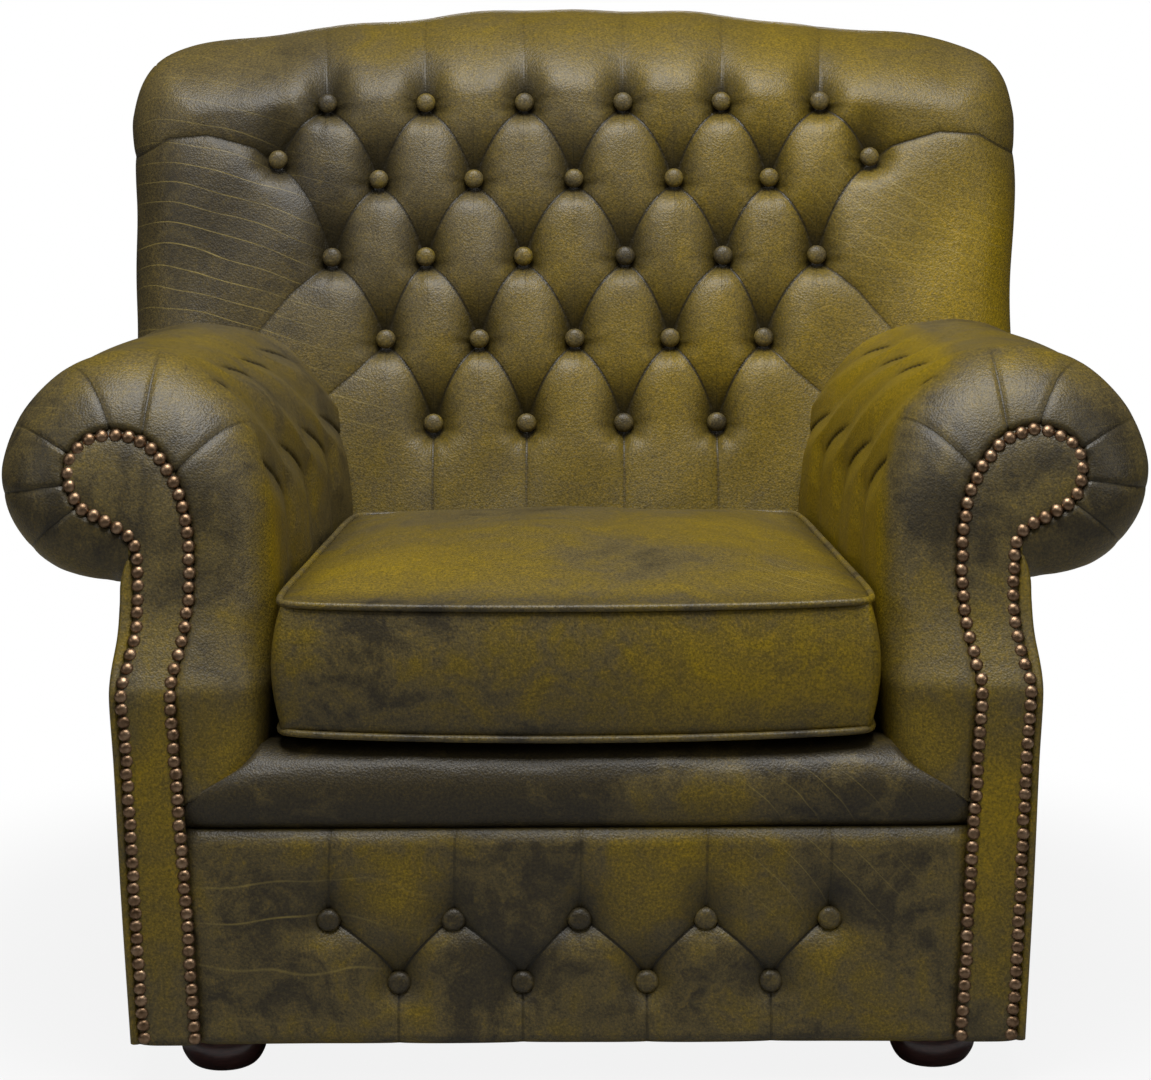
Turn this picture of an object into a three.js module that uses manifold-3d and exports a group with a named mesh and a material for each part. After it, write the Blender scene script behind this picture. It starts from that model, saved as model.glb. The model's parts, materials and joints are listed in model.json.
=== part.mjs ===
// Worn club chair with rolled arms, a deep-buttoned back and apron, and one loose seat cushion.
// Millimetres, +Z up, the front faces -Y, the floor is z = 0.
import * as THREE from "three";
import { mergeVertices } from "three/addons/utils/BufferGeometryUtils.js";
import Module from "manifold-3d";

const wasm = await Module();
wasm.setup();

// Overall envelope
const FRONT_Y = -440;
const HALF_WIDTH = 497;
const BODY_BOTTOM_Z = 45;
const GAP = 0.5;

// The chair spreads towards the floor: widths are laid out upright and then scaled by the height
const SPLAY_AT_FLOOR = 1.052;
const SPLAY_PER_MM = 0.00006;
const splay = (z) => SPLAY_AT_FLOOR - SPLAY_PER_MM * z;

// Arm front: upright up to the kink, leaning back above it
const KINK_Z = 357;
const FRONT_LEAN = 0.337;
const NAIL_BAND_DEPTH = 3.7;
const NAIL_BAND_WIDTH = 9;
const FACING_DEPTH = 12;
const STUMP_DEPTH = 21.5;

// Arm roll and inside arm
const ROLL_RADIUS = 99;
const ROLL_REAR_RADIUS = 88;
const ROLL_X = HALF_WIDTH - ROLL_RADIUS;
const ROLL_Z = 541;
const ROLL_DRIFT_X = 0.03;
const ROLL_DROP_Z = 0.045;
const WALL_TOP_DROP = 0.062;
const WALL_TOP_FROM_Z = 500;
const ROLL_ROUNDING = 62;
const ROLL_END_Y = 200;
const WALL_INNER_X = 264;
const WALL_OUTER_X = 358;
const WALL_TAPER = 0.088;
const WALL_SLICES = [
  { y: 0, inset: 44 },
  { y: 8, inset: 24 },
  { y: 24, inset: 9 },
  { y: 50, inset: 0 },
  { y: 650, inset: 0 },
];
const OUTSIDE_ARM_INNER_X = 360;

// Back
const BACK_FRONT_Y = 92;
const BACK_FRONT_Z = 450;
const BACK_LEAN = 0.28;
const BACK_REAR_Y = 402;
const REAR_LEAN = 38 / 823;
const BACK_PANEL_DEPTH = 8;
const BACK_BOTTOM_Z = 240;
const BACK_POCKET_X = 345;
const BACK_POCKET_Y = 345;
const BACK_POCKET_TOP_Z = 862;

// Seat
const CUSHION_FRONT_Y = -420;
const CUSHION_REAR_Y = 40;
const CUSHION_FRONT_HALF = 250;
const CUSHION_SEAM_LOW_Z = 318;
const CUSHION_SEAM_HIGH_Z = 432;
const CUSHION_EDGE_ROUNDING = 14;
const CROWN_RISE = 2;
const BELLY_DROP = 0.85;
const PIPING_SIZE = 9;
const RAIL_BOTTOM_Z = 60;
const RAIL_TOP_Z = 225;
const SPRING_WIRE_RADIUS = 2;
const SPRING_XS = [-200, -100, 0, 100, 200];

// Buttons
const BUTTON_RADIUS = 9.5;
const APRON_BUTTON_RADIUS = 10;
const PIT_CLEARANCE = 2;
const PIT_DEPTH = 15;
const PIT_LENGTH = 60;
const TWINE_RADIUS = 2.5;
const TWINE_SLOT = 4;
const BACK_ROWS = [
  { z: 827, xs: [-250, -150, -50, 50, 150, 250] },
  { z: 751, xs: [-197, -101, 0, 101, 197] },
  { z: 674, xs: [-243, -149, -51, 51, 149, 243] },
  { z: 593, xs: [-188, -95, 0, 95, 188] },
  { z: 510, xs: [-140, -48, 48, 140] },
];
const SIDE_BUTTON = { x: 299, z: 771 };
const ARM_ROWS = [
  { name: "upper", z: 597, faceX: 296, offsets: [-165, -55, 55, 165] },
  { name: "lower", z: 535, faceX: 269, offsets: [-110, 0, 110] },
];
const ARM_ROW_Y = -125;
const APRON_ROWS = [
  { name: "upper", z: 149, xs: [-209, -104, 2, 108, 212] },
  { name: "lower", z: 92, xs: [-150, -46, 58, 162] },
];
const APRON_FRONT_Y = -430;
const APRON_REAR_Y = -402.5;

// Feet
const FOOT_X = 303;
const FOOT_FRONT_Y = -366;
const FOOT_REAR_Y = 352;
const FOOT_PROFILE = [
  [0, 0],
  [23, 0],
  [31, 5],
  [37, 15],
  [38, 24],
  [35, 34],
  [28, 42],
  [26, 46],
  [26, 59.5],
  [0, 59.5],
];

// Outline of the arm facing, right arm, seen from the front: [x, z]
const FACING_INNER = [
  [316.6, 51],
  [321.6, 131],
  [326.7, 209],
  [333, 306],
  [336, KINK_Z],
];
const FACING_SCROLL = [
  [331.5, 381],
  [326.4, 408],
  [323.7, 437],
  [324, 470],
  [326.5, 494],
  [332, 518],
  [342, 540],
  [356, 559],
  [371, 570],
  [396, 576],
  [421, 569],
  [434, 555],
  [437, 540],
  [434, 524],
  [429, 514],
  [420, 504],
  [411, 500],
  [400, 494],
  [390, 489],
  [381, 482],
  [377, 470],
  [375.5, 449],
  [374.5, 427],
  [375, 408],
  [378, 391],
  [381, 377],
];
const FACING_OUTER = [
  [385, KINK_Z],
  [381.4, 306],
  [376.4, 209],
  [371.3, 116],
  [367, 51],
];
const FACING = [...FACING_INNER, ...FACING_SCROLL, ...FACING_OUTER];
const KINK_IN = FACING_INNER.length - 1;
const KINK_OUT = FACING.length - FACING_OUTER.length;

const COLOURS = {
  leather: 0x4b4a33,
  hardwood: 0xa98a5f,
  mahogany: 0x2a120c,
  bronze: 0x8a5a35,
  steel: 0x777777,
  cloth: 0x2b2b2b,
};

const group = new THREE.Group();
group.name = "club_chair";

const backFrontY = (z) => BACK_FRONT_Y + BACK_LEAN * (z - BACK_FRONT_Z);
const backRearY = (z) => BACK_REAR_Y + REAR_LEAN * (z - BODY_BOTTOM_Z);
const frontLean = (z) => FRONT_LEAN * Math.max(0, z - KINK_Z);

// A closed geometry as a solid that can be joined and cut.
function solid(geometry) {
  const bare = new THREE.BufferGeometry();
  const flat = geometry.index ? geometry.toNonIndexed() : geometry;
  bare.setAttribute("position", flat.getAttribute("position"));
  const merged = mergeVertices(bare, 1e-3);
  return new wasm.Manifold(
    new wasm.Mesh({
      numProp: 3,
      vertProperties: new Float32Array(merged.getAttribute("position").array),
      triVerts: new Uint32Array(merged.index.array),
    }),
  );
}

// A joined or cut solid back as a splayed geometry; mirrored swaps left and right, turned pieces stay round.
function geometryOf(body, mirrored = false, turned = false) {
  const mesh = body.getMesh();
  const positions = new Float32Array(mesh.vertProperties);
  const index = Array.from(mesh.triVerts);
  if (!turned) {
    for (let i = 0; i < positions.length; i += 3) {
      positions[i] *= splay(positions[i + 2]);
    }
  }
  if (mirrored) {
    for (let i = 0; i < positions.length; i += 3) {
      positions[i] = -positions[i];
    }
    index.reverse();
  }
  const geometry = new THREE.BufferGeometry();
  geometry.setAttribute("position", new THREE.BufferAttribute(positions, 3));
  geometry.setIndex(index);
  geometry.computeVertexNormals();
  return geometry;
}

function add(name, body, colour, mirrored = false, turned = false) {
  const material = new THREE.MeshStandardMaterial({
    color: colour,
    roughness: 0.6,
    metalness: colour === COLOURS.steel || colour === COLOURS.bronze ? 0.9 : 0,
  });
  const mesh = new THREE.Mesh(geometryOf(body, mirrored, turned), material);
  mesh.name = name;
  group.add(mesh);
}

// The same piece on both sides, described for the right side.
function addPair(name, body, colour, turned = false) {
  add(`right_${name}`, body, colour, false, turned);
  add(`left_${name}`, body, colour, true, turned);
}

function box(x0, x1, y0, y1, z0, z1) {
  const geometry = new THREE.BoxGeometry(x1 - x0, y1 - y0, z1 - z0);
  geometry.translate((x0 + x1) / 2, (y0 + y1) / 2, (z0 + z1) / 2);
  return solid(geometry);
}

function shapeOf(points) {
  return new THREE.Shape(points.map(([a, b]) => new THREE.Vector2(a, b)));
}

// Moves every vertex of a geometry: change(p) edits the point in place.
function warp(geometry, change) {
  const position = geometry.getAttribute("position");
  const p = new THREE.Vector3();
  for (let i = 0; i < position.count; i += 1) {
    p.fromBufferAttribute(position, i);
    change(p);
    position.setXYZ(i, p.x, p.y, p.z);
  }
  return geometry;
}

// An [x, z] outline drawn out along Y.
function alongY(points, y0, y1, steps = 1) {
  const geometry = new THREE.ExtrudeGeometry(shapeOf(points), {
    depth: y1 - y0,
    steps,
    bevelEnabled: false,
  });
  geometry.rotateX(Math.PI / 2);
  geometry.translate(0, y1, 0);
  return geometry;
}

// A [y, z] profile drawn out along X.
function alongX(points, x0, x1) {
  const geometry = new THREE.ExtrudeGeometry(shapeOf(points), {
    depth: x1 - x0,
    bevelEnabled: false,
  });
  const turn = new THREE.Matrix4().makeBasis(
    new THREE.Vector3(0, 1, 0),
    new THREE.Vector3(0, 0, 1),
    new THREE.Vector3(1, 0, 0),
  );
  geometry.applyMatrix4(turn);
  geometry.translate(x0, 0, 0);
  return geometry;
}

// An [x, y] outline drawn out along Z.
function alongZ(points, z0, z1) {
  const geometry = new THREE.ExtrudeGeometry(shapeOf(points), {
    depth: z1 - z0,
    bevelEnabled: false,
  });
  geometry.translate(0, 0, z0);
  return geometry;
}

// The facing outline grown by a distance (shrunk when it is negative), its kinks kept at one height.
function facingOutline(grow) {
  const count = FACING.length;
  return FACING.map(([x, z], i) => {
    const before = FACING[(i + count - 1) % count];
    const after = FACING[(i + 1) % count];
    const first = new THREE.Vector2(x - before[0], z - before[1]).normalize();
    const second = new THREE.Vector2(after[0] - x, after[1] - z).normalize();
    const along = first.clone().add(second).normalize();
    const stretch = 1 / Math.max(0.6, along.dot(second));
    const moved = [x - along.y * grow * stretch, z + along.x * grow * stretch];
    if (i === KINK_IN || i === KINK_OUT) {
      return [moved[0], KINK_Z];
    }
    return moved;
  });
}

// A board of the given outline: upright below the kink, sheared back above it.
function leaningBoard(lowerOutlines, upperOutline, y0, y1) {
  const upper = warp(alongY(upperOutline, y0, y1), (p) => {
    p.y += FRONT_LEAN * (p.z - KINK_Z);
  });
  let body = solid(upper);
  for (const outline of lowerOutlines) {
    body = body.add(solid(alongY(outline, y0, y1)));
  }
  return body;
}

function scrollBoard(grow, y0, y1, drop = 0) {
  const outline = facingOutline(grow);
  outline[0][1] -= drop;
  outline[outline.length - 1][1] -= drop;
  const lower = [...outline.slice(0, KINK_IN + 1), ...outline.slice(KINK_OUT)];
  const upper = outline.slice(KINK_IN, KINK_OUT + 1);
  return leaningBoard([lower.reverse()], upper.reverse(), y0, y1);
}

// The line of nails as one band that follows the facing's edge and is open at the bottom.
function nailBand(y0, y1) {
  const edge = facingOutline(-1);
  const inside = facingOutline(-1 - NAIL_BAND_WIDTH);
  const strip = (from, to) => [
    ...inside.slice(from, to + 1),
    ...edge.slice(from, to + 1).reverse(),
  ];
  const lower = [strip(0, KINK_IN), strip(KINK_OUT, FACING.length - 1)];
  return leaningBoard(lower, strip(KINK_IN, KINK_OUT), y0, y1);
}

// A domed button facing -Y, its flat back at y = 0.
function button(radius) {
  const profile = [
    [0, 0],
    [radius * 0.9, 0],
    [radius, 3],
    [radius * 0.92, 6],
    [radius * 0.62, 8.6],
    [0, 9.6],
  ];
  const points = profile.map(([r, h]) => new THREE.Vector2(r, h));
  const geometry = new THREE.LatheGeometry(points, 12);
  geometry.rotateX(Math.PI);
  return geometry;
}

// One row of tied buttons and the hollow that it lies in; the local +Y of the matrix goes into the pad.
function tiedRow(xs, matrix) {
  const first = xs[0];
  const last = xs[xs.length - 1];
  const seat = PIT_DEPTH - GAP;
  const pitRadius = BUTTON_RADIUS + PIT_CLEARANCE;
  const parts = [];
  const hollows = [];
  for (const x of xs) {
    const pit = new THREE.CylinderGeometry(pitRadius, pitRadius, PIT_LENGTH, 12);
    hollows.push(pit.translate(x, PIT_DEPTH - PIT_LENGTH / 2, 0));
    parts.push(button(BUTTON_RADIUS).translate(x, seat, 0));
  }
  if (xs.length > 1) {
    const twine = new THREE.CylinderGeometry(TWINE_RADIUS, TWINE_RADIUS, last - first, 6);
    twine.rotateZ(Math.PI / 2);
    parts.push(twine.translate((first + last) / 2, seat - TWINE_RADIUS - 1, 0));
    const slot = new THREE.BoxGeometry(last - first, PIT_LENGTH, 2 * TWINE_SLOT);
    hollows.push(slot.translate((first + last) / 2, PIT_DEPTH - PIT_LENGTH / 2, 0));
  }
  const join = (pieces) =>
    pieces.map((piece) => solid(piece.applyMatrix4(matrix))).reduce((a, b) => a.add(b));
  return { buttons: join(parts), hollow: join(hollows) };
}

// Arm fronts
const facingY = FRONT_Y + NAIL_BAND_DEPTH + 0.3;
const stumpY = facingY + FACING_DEPTH + 0.3;
const stumpRearY = stumpY + STUMP_DEPTH;
const armFrontPocket = scrollBoard(1, FRONT_Y - 30, stumpRearY + 1.5, 30);
addPair("nail_trim", nailBand(FRONT_Y, FRONT_Y + NAIL_BAND_DEPTH), COLOURS.bronze);
addPair("arm_facing", scrollBoard(-0.5, facingY, facingY + FACING_DEPTH), COLOURS.leather);
addPair("arm_stump", scrollBoard(-0.5, stumpY, stumpRearY), COLOURS.hardwood);

// Arm pads: the padded inside wall and the roll along its top
const frontShare = (y) => THREE.MathUtils.clamp((100 - y) / 450, 0, 1);

function armRoll(grow) {
  const r = ROLL_RADIUS + grow;
  const front = FRONT_Y + 6 + frontLean(ROLL_Z) - grow;
  const full = front + ROLL_ROUNDING;
  const profile = [
    [0, front],
    [r * 0.63, front],
    [r * 0.85, front + 12],
    [r * 0.965, front + 35],
    [r, full],
    [ROLL_REAR_RADIUS + grow, ROLL_END_Y],
    [0, ROLL_END_Y],
  ];
  const geometry = new THREE.LatheGeometry(
    profile.map(([radius, y]) => new THREE.Vector2(radius, y)),
    24,
  );
  return solid(
    warp(geometry, (p) => {
      const along = p.y - full;
      p.y += FRONT_LEAN * p.z * frontShare(p.y);
      p.x += ROLL_X - ROLL_DRIFT_X * along;
      p.z += ROLL_Z - ROLL_DROP_Z * along;
    }),
  );
}

function armWall() {
  const outline = [
    [WALL_INNER_X, 303],
    [322, 261],
    [WALL_OUTER_X, 250],
    [WALL_OUTER_X, 634],
    [335, 629],
    [302, 608],
    [280, 574],
    [268, 527],
    [WALL_INNER_X, 470],
  ];
  const last = WALL_SLICES.length - 1;
  const geometry = alongY(outline, 0, last, last);
  return solid(
    warp(geometry, (p) => {
      const slice = WALL_SLICES[Math.round(p.y)];
      const share = (WALL_OUTER_X - p.x) / (WALL_OUTER_X - WALL_INNER_X);
      p.y = FRONT_Y + 6 + slice.y;
      p.x += (slice.inset - WALL_TAPER * (p.y - FRONT_Y)) * share;
      const topShare = THREE.MathUtils.clamp((p.z - WALL_TOP_FROM_Z) / 100, 0, 1);
      const lean = frontLean(p.z) * frontShare(p.y);
      p.z -= WALL_TOP_DROP * Math.max(0, slice.y - ROLL_ROUNDING) * topShare;
      p.y += lean;
    }),
  );
}

const behindBack = solid(
  alongX(
    [
      [backFrontY(-50) - GAP, -50],
      [700, -50],
      [700, 1200],
      [backFrontY(1200) - GAP, 1200],
    ],
    -600,
    600,
  ),
);
const board = { x0: 364, x1: 430, z0: 536, z1: 558 };
const boardFront = stumpRearY + frontLean(board.z1) + 2;
const boardRear = backFrontY(board.z0) - 2;
addPair(
  "arm_board",
  box(board.x0, board.x1, boardFront, boardRear, board.z0, board.z1),
  COLOURS.hardwood,
);
const boardTunnel = box(
  board.x0 - GAP,
  board.x1 + GAP,
  -360,
  300,
  board.z0 - GAP,
  board.z1 + GAP,
);
let armPad = armWall().add(armRoll(0)).subtract(armFrontPocket).subtract(boardTunnel).subtract(behindBack);
for (const row of ARM_ROWS) {
  const share = (WALL_OUTER_X - row.faceX) / (WALL_OUTER_X - WALL_INNER_X);
  const faceX = row.faceX - WALL_TAPER * share * (ARM_ROW_Y - FRONT_Y);
  const matrix = new THREE.Matrix4().makeRotationZ(Math.atan(WALL_TAPER * share) - Math.PI / 2);
  matrix.setPosition(faceX, ARM_ROW_Y, row.z);
  const { buttons, hollow } = tiedRow(row.offsets, matrix);
  armPad = armPad.subtract(hollow);
  addPair(`arm_buttons_${row.name}`, buttons, COLOURS.leather);
}
addPair("arm_pad", armPad, COLOURS.leather);

// Outside arms
const behindBackPanel = solid(
  alongX(
    [
      [backRearY(-50) - BACK_PANEL_DEPTH - GAP, -50],
      [700, -50],
      [700, 1200],
      [backRearY(1200) - BACK_PANEL_DEPTH - GAP, 1200],
    ],
    -600,
    600,
  ),
);
const outsideArmOutline = [
  [OUTSIDE_ARM_INNER_X, BODY_BOTTOM_Z],
  [377, BODY_BOTTOM_Z],
  [384.5, 170],
  [390, 285],
  [394, KINK_Z],
  [389, 400],
  [388.5, 427],
  [390, 470],
  [OUTSIDE_ARM_INNER_X, 470],
];
const outsideArm = solid(
  warp(alongY(outsideArmOutline, FRONT_Y + 5, 500), (p) => {
    p.y += frontLean(p.z) * frontShare(p.y);
  }),
);
const rollHollow = armRoll(0.8).subtract(behindBack);
addPair(
  "outside_arm",
  outsideArm.subtract(armFrontPocket).subtract(rollHollow).subtract(behindBackPanel),
  COLOURS.leather,
);

// Back: the buttoned pad, hollow behind for the posts and rails, and the plain panel that closes it
const backHalfOutline = [
  [357, BACK_BOTTOM_Z],
  [357, 473],
  [440, 473],
  [440, 610],
  [452, 790],
  [451, 815],
  [443, 845],
  [426, 868],
  [402, 880],
  [366, 888],
  [300, 894],
  [200, 905],
  [100, 914],
];
const mirrorX = (points) => points.map(([x, z]) => [-x, z]).reverse();
const backOutline = [...backHalfOutline, [0, 918], ...mirrorX(backHalfOutline)];
const backRearFace = (z) => backRearY(z) - BACK_PANEL_DEPTH - GAP;
const backProfile = [
  [backFrontY(BACK_BOTTOM_Z), BACK_BOTTOM_Z],
  [backRearFace(BACK_BOTTOM_Z), BACK_BOTTOM_Z],
  [backRearFace(872), 872],
  [414, 897],
  [370, 912],
  [310, 919],
  [262, 914],
  [229, 895],
  [backFrontY(850), 850],
];
let backPad = solid(alongY(backOutline, -100, 600)).intersect(solid(alongX(backProfile, -500, 500)));
backPad = backPad.subtract(
  box(-BACK_POCKET_X, BACK_POCKET_X, BACK_POCKET_Y, 700, 0, BACK_POCKET_TOP_Z),
);
const onBack = (x, z) => new THREE.Matrix4().makeTranslation(x, backFrontY(z), z);
BACK_ROWS.forEach((row, i) => {
  const { buttons, hollow } = tiedRow(row.xs, onBack(0, row.z));
  backPad = backPad.subtract(hollow);
  add(`back_buttons_row_${i + 1}`, buttons, COLOURS.leather);
});
for (const [side, sign] of [["left", -1], ["right", 1]]) {
  const { buttons, hollow } = tiedRow([0], onBack(sign * SIDE_BUTTON.x, SIDE_BUTTON.z));
  backPad = backPad.subtract(hollow);
  add(`${side}_back_side_button`, buttons, COLOURS.leather);
}
add("back_pad", backPad, COLOURS.leather);

const panelHalfOutline = [
  [374, BODY_BOTTOM_Z],
  [392, 300],
  [390, 474],
  [438, 476],
  [443, 790],
  [434, 835],
  [412, 858],
];
const panelOutline = [...panelHalfOutline, [380, 868], [-380, 868], ...mirrorX(panelHalfOutline)];
const panelFront = backRearY(BODY_BOTTOM_Z) - BACK_PANEL_DEPTH;
const backPanel = warp(alongY(panelOutline, panelFront, panelFront + BACK_PANEL_DEPTH), (p) => {
  p.y += REAR_LEAN * (p.z - BODY_BOTTOM_Z);
});
add("outside_back_panel", solid(backPanel), COLOURS.leather);

// Frame timbers
const RAIL_REAR_Y0 = 355;
const RAIL_REAR_Y1 = 390;
add("front_rail", box(-318, 318, -400, -375, RAIL_BOTTOM_Z, RAIL_TOP_Z), COLOURS.hardwood);
add("rear_rail", box(-295, 295, RAIL_REAR_Y0, RAIL_REAR_Y1, RAIL_BOTTOM_Z, RAIL_TOP_Z), COLOURS.hardwood);
add("back_top_rail", box(-295, 295, RAIL_REAR_Y0, RAIL_REAR_Y1, 815, 858), COLOURS.hardwood);
add("back_lumbar_rail", box(-295, 295, RAIL_REAR_Y0, RAIL_REAR_Y1, 300, 345), COLOURS.hardwood);
addPair("side_rail", box(320, WALL_OUTER_X, -400, 350, RAIL_BOTTOM_Z, 215), COLOURS.hardwood);
addPair("back_post", box(297, 343, 352, 393, RAIL_BOTTOM_Z, 858), COLOURS.hardwood);

// Seat springs, deck, lip and dust cover
function seatSpring(x) {
  const waves = 14;
  const startY = -390;
  const endY = 372;
  const points = [];
  for (let i = 0; i <= waves; i += 1) {
    const swing = i === 0 || i === waves ? 0 : 18 * (i % 2 === 0 ? 1 : -1);
    points.push(new THREE.Vector3(x + swing, startY + ((endY - startY) * i) / waves, 0));
  }
  const wire = new THREE.Shape();
  wire.absarc(0, 0, SPRING_WIRE_RADIUS, 0, 2 * Math.PI);
  const geometry = new THREE.ExtrudeGeometry(wire, {
    steps: waves * 3,
    curveSegments: 3,
    extrudePath: new THREE.CatmullRomCurve3(points),
  });
  return solid(geometry.translate(0, 0, RAIL_TOP_Z + SPRING_WIRE_RADIUS + 0.7));
}
SPRING_XS.forEach((x, i) => add(`seat_spring_${i + 1}`, seatSpring(x), COLOURS.steel));

const deck = [
  [-256, -361],
  [256, -361],
  [214, 25],
  [-214, 25],
];
add("seat_deck", solid(alongZ(deck, 231.5, 303)), COLOURS.cloth);

const lipProfile = [
  [-364, 233.5],
  [-364, 302],
  [-395, 302],
  [-418, 293],
  [-430, 274],
  [-432, 256],
  [-428, 240],
  [-422, 233.5],
].reverse();
const lipHalfOutline = [
  [318, 230],
  [318, 254],
  [256, 299],
];
const lipOutline = [...lipHalfOutline, [256, 305], [-256, 305], ...mirrorX(lipHalfOutline)];
const lip = solid(alongX(lipProfile, -330, 330)).intersect(solid(alongY(lipOutline, -500, -300)));
add("front_lip", lip, COLOURS.leather);

const coverHalf = [
  [262, -396],
  [262, -326],
  [352, -326],
  [352, 312],
  [262, 312],
  [262, 386],
];
const dustCover = [...coverHalf, ...mirrorX(coverHalf)];
add("dust_cover", solid(alongZ(dustCover, 57.5, 59.5)), COLOURS.cloth);

// Front apron and its buttons
const armFrontPocketLeft = solid(geometryOf(armFrontPocket, true, true));
let apron = box(-345, 345, APRON_FRONT_Y, APRON_REAR_Y, BODY_BOTTOM_Z, 232.5);
apron = apron.subtract(armFrontPocket).subtract(armFrontPocketLeft);
for (const row of APRON_ROWS) {
  row.xs.forEach((x, i) => {
    const pitRadius = APRON_BUTTON_RADIUS + PIT_CLEARANCE;
    const pit = new THREE.CylinderGeometry(pitRadius, pitRadius, 2 * PIT_DEPTH, 12);
    apron = apron.subtract(solid(pit.translate(x, APRON_FRONT_Y, row.z)));
    const knob = button(APRON_BUTTON_RADIUS).translate(x, APRON_FRONT_Y + PIT_DEPTH - GAP, row.z);
    add(`apron_button_${row.name}_${i + 1}`, solid(knob), COLOURS.leather);
  });
}
add("front_apron", apron, COLOURS.leather);

// Loose seat cushion with a piping cord round each edge
function cushionShape(grow) {
  const rear = CUSHION_REAR_Y + grow;
  const front = CUSHION_FRONT_Y - grow;
  const half = (y) => CUSHION_FRONT_HALF + grow - WALL_TAPER * (y - CUSHION_FRONT_Y);
  const r = 40 + grow;
  const shape = new THREE.Shape();
  shape.moveTo(-half(front) + r, front);
  shape.lineTo(half(front) - r, front);
  shape.quadraticCurveTo(half(front), front, half(front + r), front + r);
  shape.lineTo(half(rear - r), rear - r);
  shape.quadraticCurveTo(half(rear), rear, half(rear) - r, rear);
  shape.lineTo(-half(rear) + r, rear);
  shape.quadraticCurveTo(-half(rear), rear, -half(rear - r), rear - r);
  shape.lineTo(-half(front + r), front + r);
  shape.quadraticCurveTo(-half(front), front, -half(front) + r, front);
  return shape;
}

const cushion = new THREE.ExtrudeGeometry(cushionShape(0), {
  depth: CUSHION_SEAM_HIGH_Z - CUSHION_SEAM_LOW_Z,
  curveSegments: 4,
  bevelThickness: CUSHION_EDGE_ROUNDING,
  bevelSize: 22,
  bevelOffset: -22,
  bevelSegments: 3,
});
cushion.translate(0, 0, CUSHION_SEAM_LOW_Z);
warp(cushion, (p) => {
  if (p.z > CUSHION_SEAM_HIGH_Z) {
    p.z = CUSHION_SEAM_HIGH_Z + CROWN_RISE * (p.z - CUSHION_SEAM_HIGH_Z);
  } else if (p.z < CUSHION_SEAM_LOW_Z) {
    p.z = CUSHION_SEAM_LOW_Z + BELLY_DROP * (p.z - CUSHION_SEAM_LOW_Z);
  }
});
add("seat_cushion", solid(cushion), COLOURS.leather);

function piping(z) {
  const ring = cushionShape(PIPING_SIZE + GAP);
  ring.holes.push(cushionShape(GAP));
  const bevel = 2.5;
  const geometry = new THREE.ExtrudeGeometry(ring, {
    depth: PIPING_SIZE - 2 * bevel,
    curveSegments: 4,
    bevelThickness: bevel,
    bevelSize: bevel,
    bevelOffset: -bevel,
    bevelSegments: 1,
  });
  return solid(geometry.translate(0, 0, z - PIPING_SIZE / 2 + bevel));
}
add("cushion_piping_top", piping(CUSHION_SEAM_HIGH_Z), COLOURS.leather);
add("cushion_piping_bottom", piping(CUSHION_SEAM_LOW_Z), COLOURS.leather);

// Turned bun feet
function bunFoot(x, y) {
  const points = FOOT_PROFILE.map(([r, h]) => new THREE.Vector2(r, h));
  const geometry = new THREE.LatheGeometry(points, 24);
  geometry.rotateX(Math.PI / 2);
  return solid(geometry.translate(x, y, 0));
}
addPair("front_foot", bunFoot(FOOT_X * splay(BODY_BOTTOM_Z), FOOT_FRONT_Y), COLOURS.mahogany, true);
addPair("rear_foot", bunFoot(FOOT_X * splay(BODY_BOTTOM_Z), FOOT_REAR_Y), COLOURS.mahogany, true);

export default group;
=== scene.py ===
# %% [markdown]
# # A worn club chair
# The chair is a hardwood box with springs, padded all over and covered in olive-green leather. The packed
# model gives the frame and the size of every piece. This script lays the leather over it: each piece is a
# surface worked out with numpy in millimetres, turned to metres when it becomes a mesh.

# %% load the frame
import json
import math

import bpy
import numpy as np
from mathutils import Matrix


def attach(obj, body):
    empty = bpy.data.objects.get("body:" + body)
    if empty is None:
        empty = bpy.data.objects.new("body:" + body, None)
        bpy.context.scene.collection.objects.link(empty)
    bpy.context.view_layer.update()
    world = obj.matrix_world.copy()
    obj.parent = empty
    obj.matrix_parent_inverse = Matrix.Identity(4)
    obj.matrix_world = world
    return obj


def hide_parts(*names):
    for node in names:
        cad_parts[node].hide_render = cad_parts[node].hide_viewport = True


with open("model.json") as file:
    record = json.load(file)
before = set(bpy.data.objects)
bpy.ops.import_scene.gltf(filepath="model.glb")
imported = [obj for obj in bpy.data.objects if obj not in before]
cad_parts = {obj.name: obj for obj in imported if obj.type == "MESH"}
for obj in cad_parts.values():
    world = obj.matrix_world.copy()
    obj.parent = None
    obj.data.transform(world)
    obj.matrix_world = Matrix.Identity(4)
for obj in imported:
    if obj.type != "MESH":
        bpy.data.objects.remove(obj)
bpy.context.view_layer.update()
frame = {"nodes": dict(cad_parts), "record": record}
MM = 0.001
rng = np.random.default_rng(7)

# %% [markdown]
# ## The camera
# The photograph looks at the chair from the front and a little from above. A long lens three metres away
# keeps the back and the front at nearly the same scale, as the picture shows them. It could be turned
# towards a target, but plain angles say more clearly how the picture was taken.

# %% camera
CAMERA_DISTANCE = 3.0
CAMERA_HEIGHT = 1.018
CAMERA_PITCH = 10.0
CAMERA_ROLL = 0.3
CHAIR_FRONT = -0.44

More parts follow.
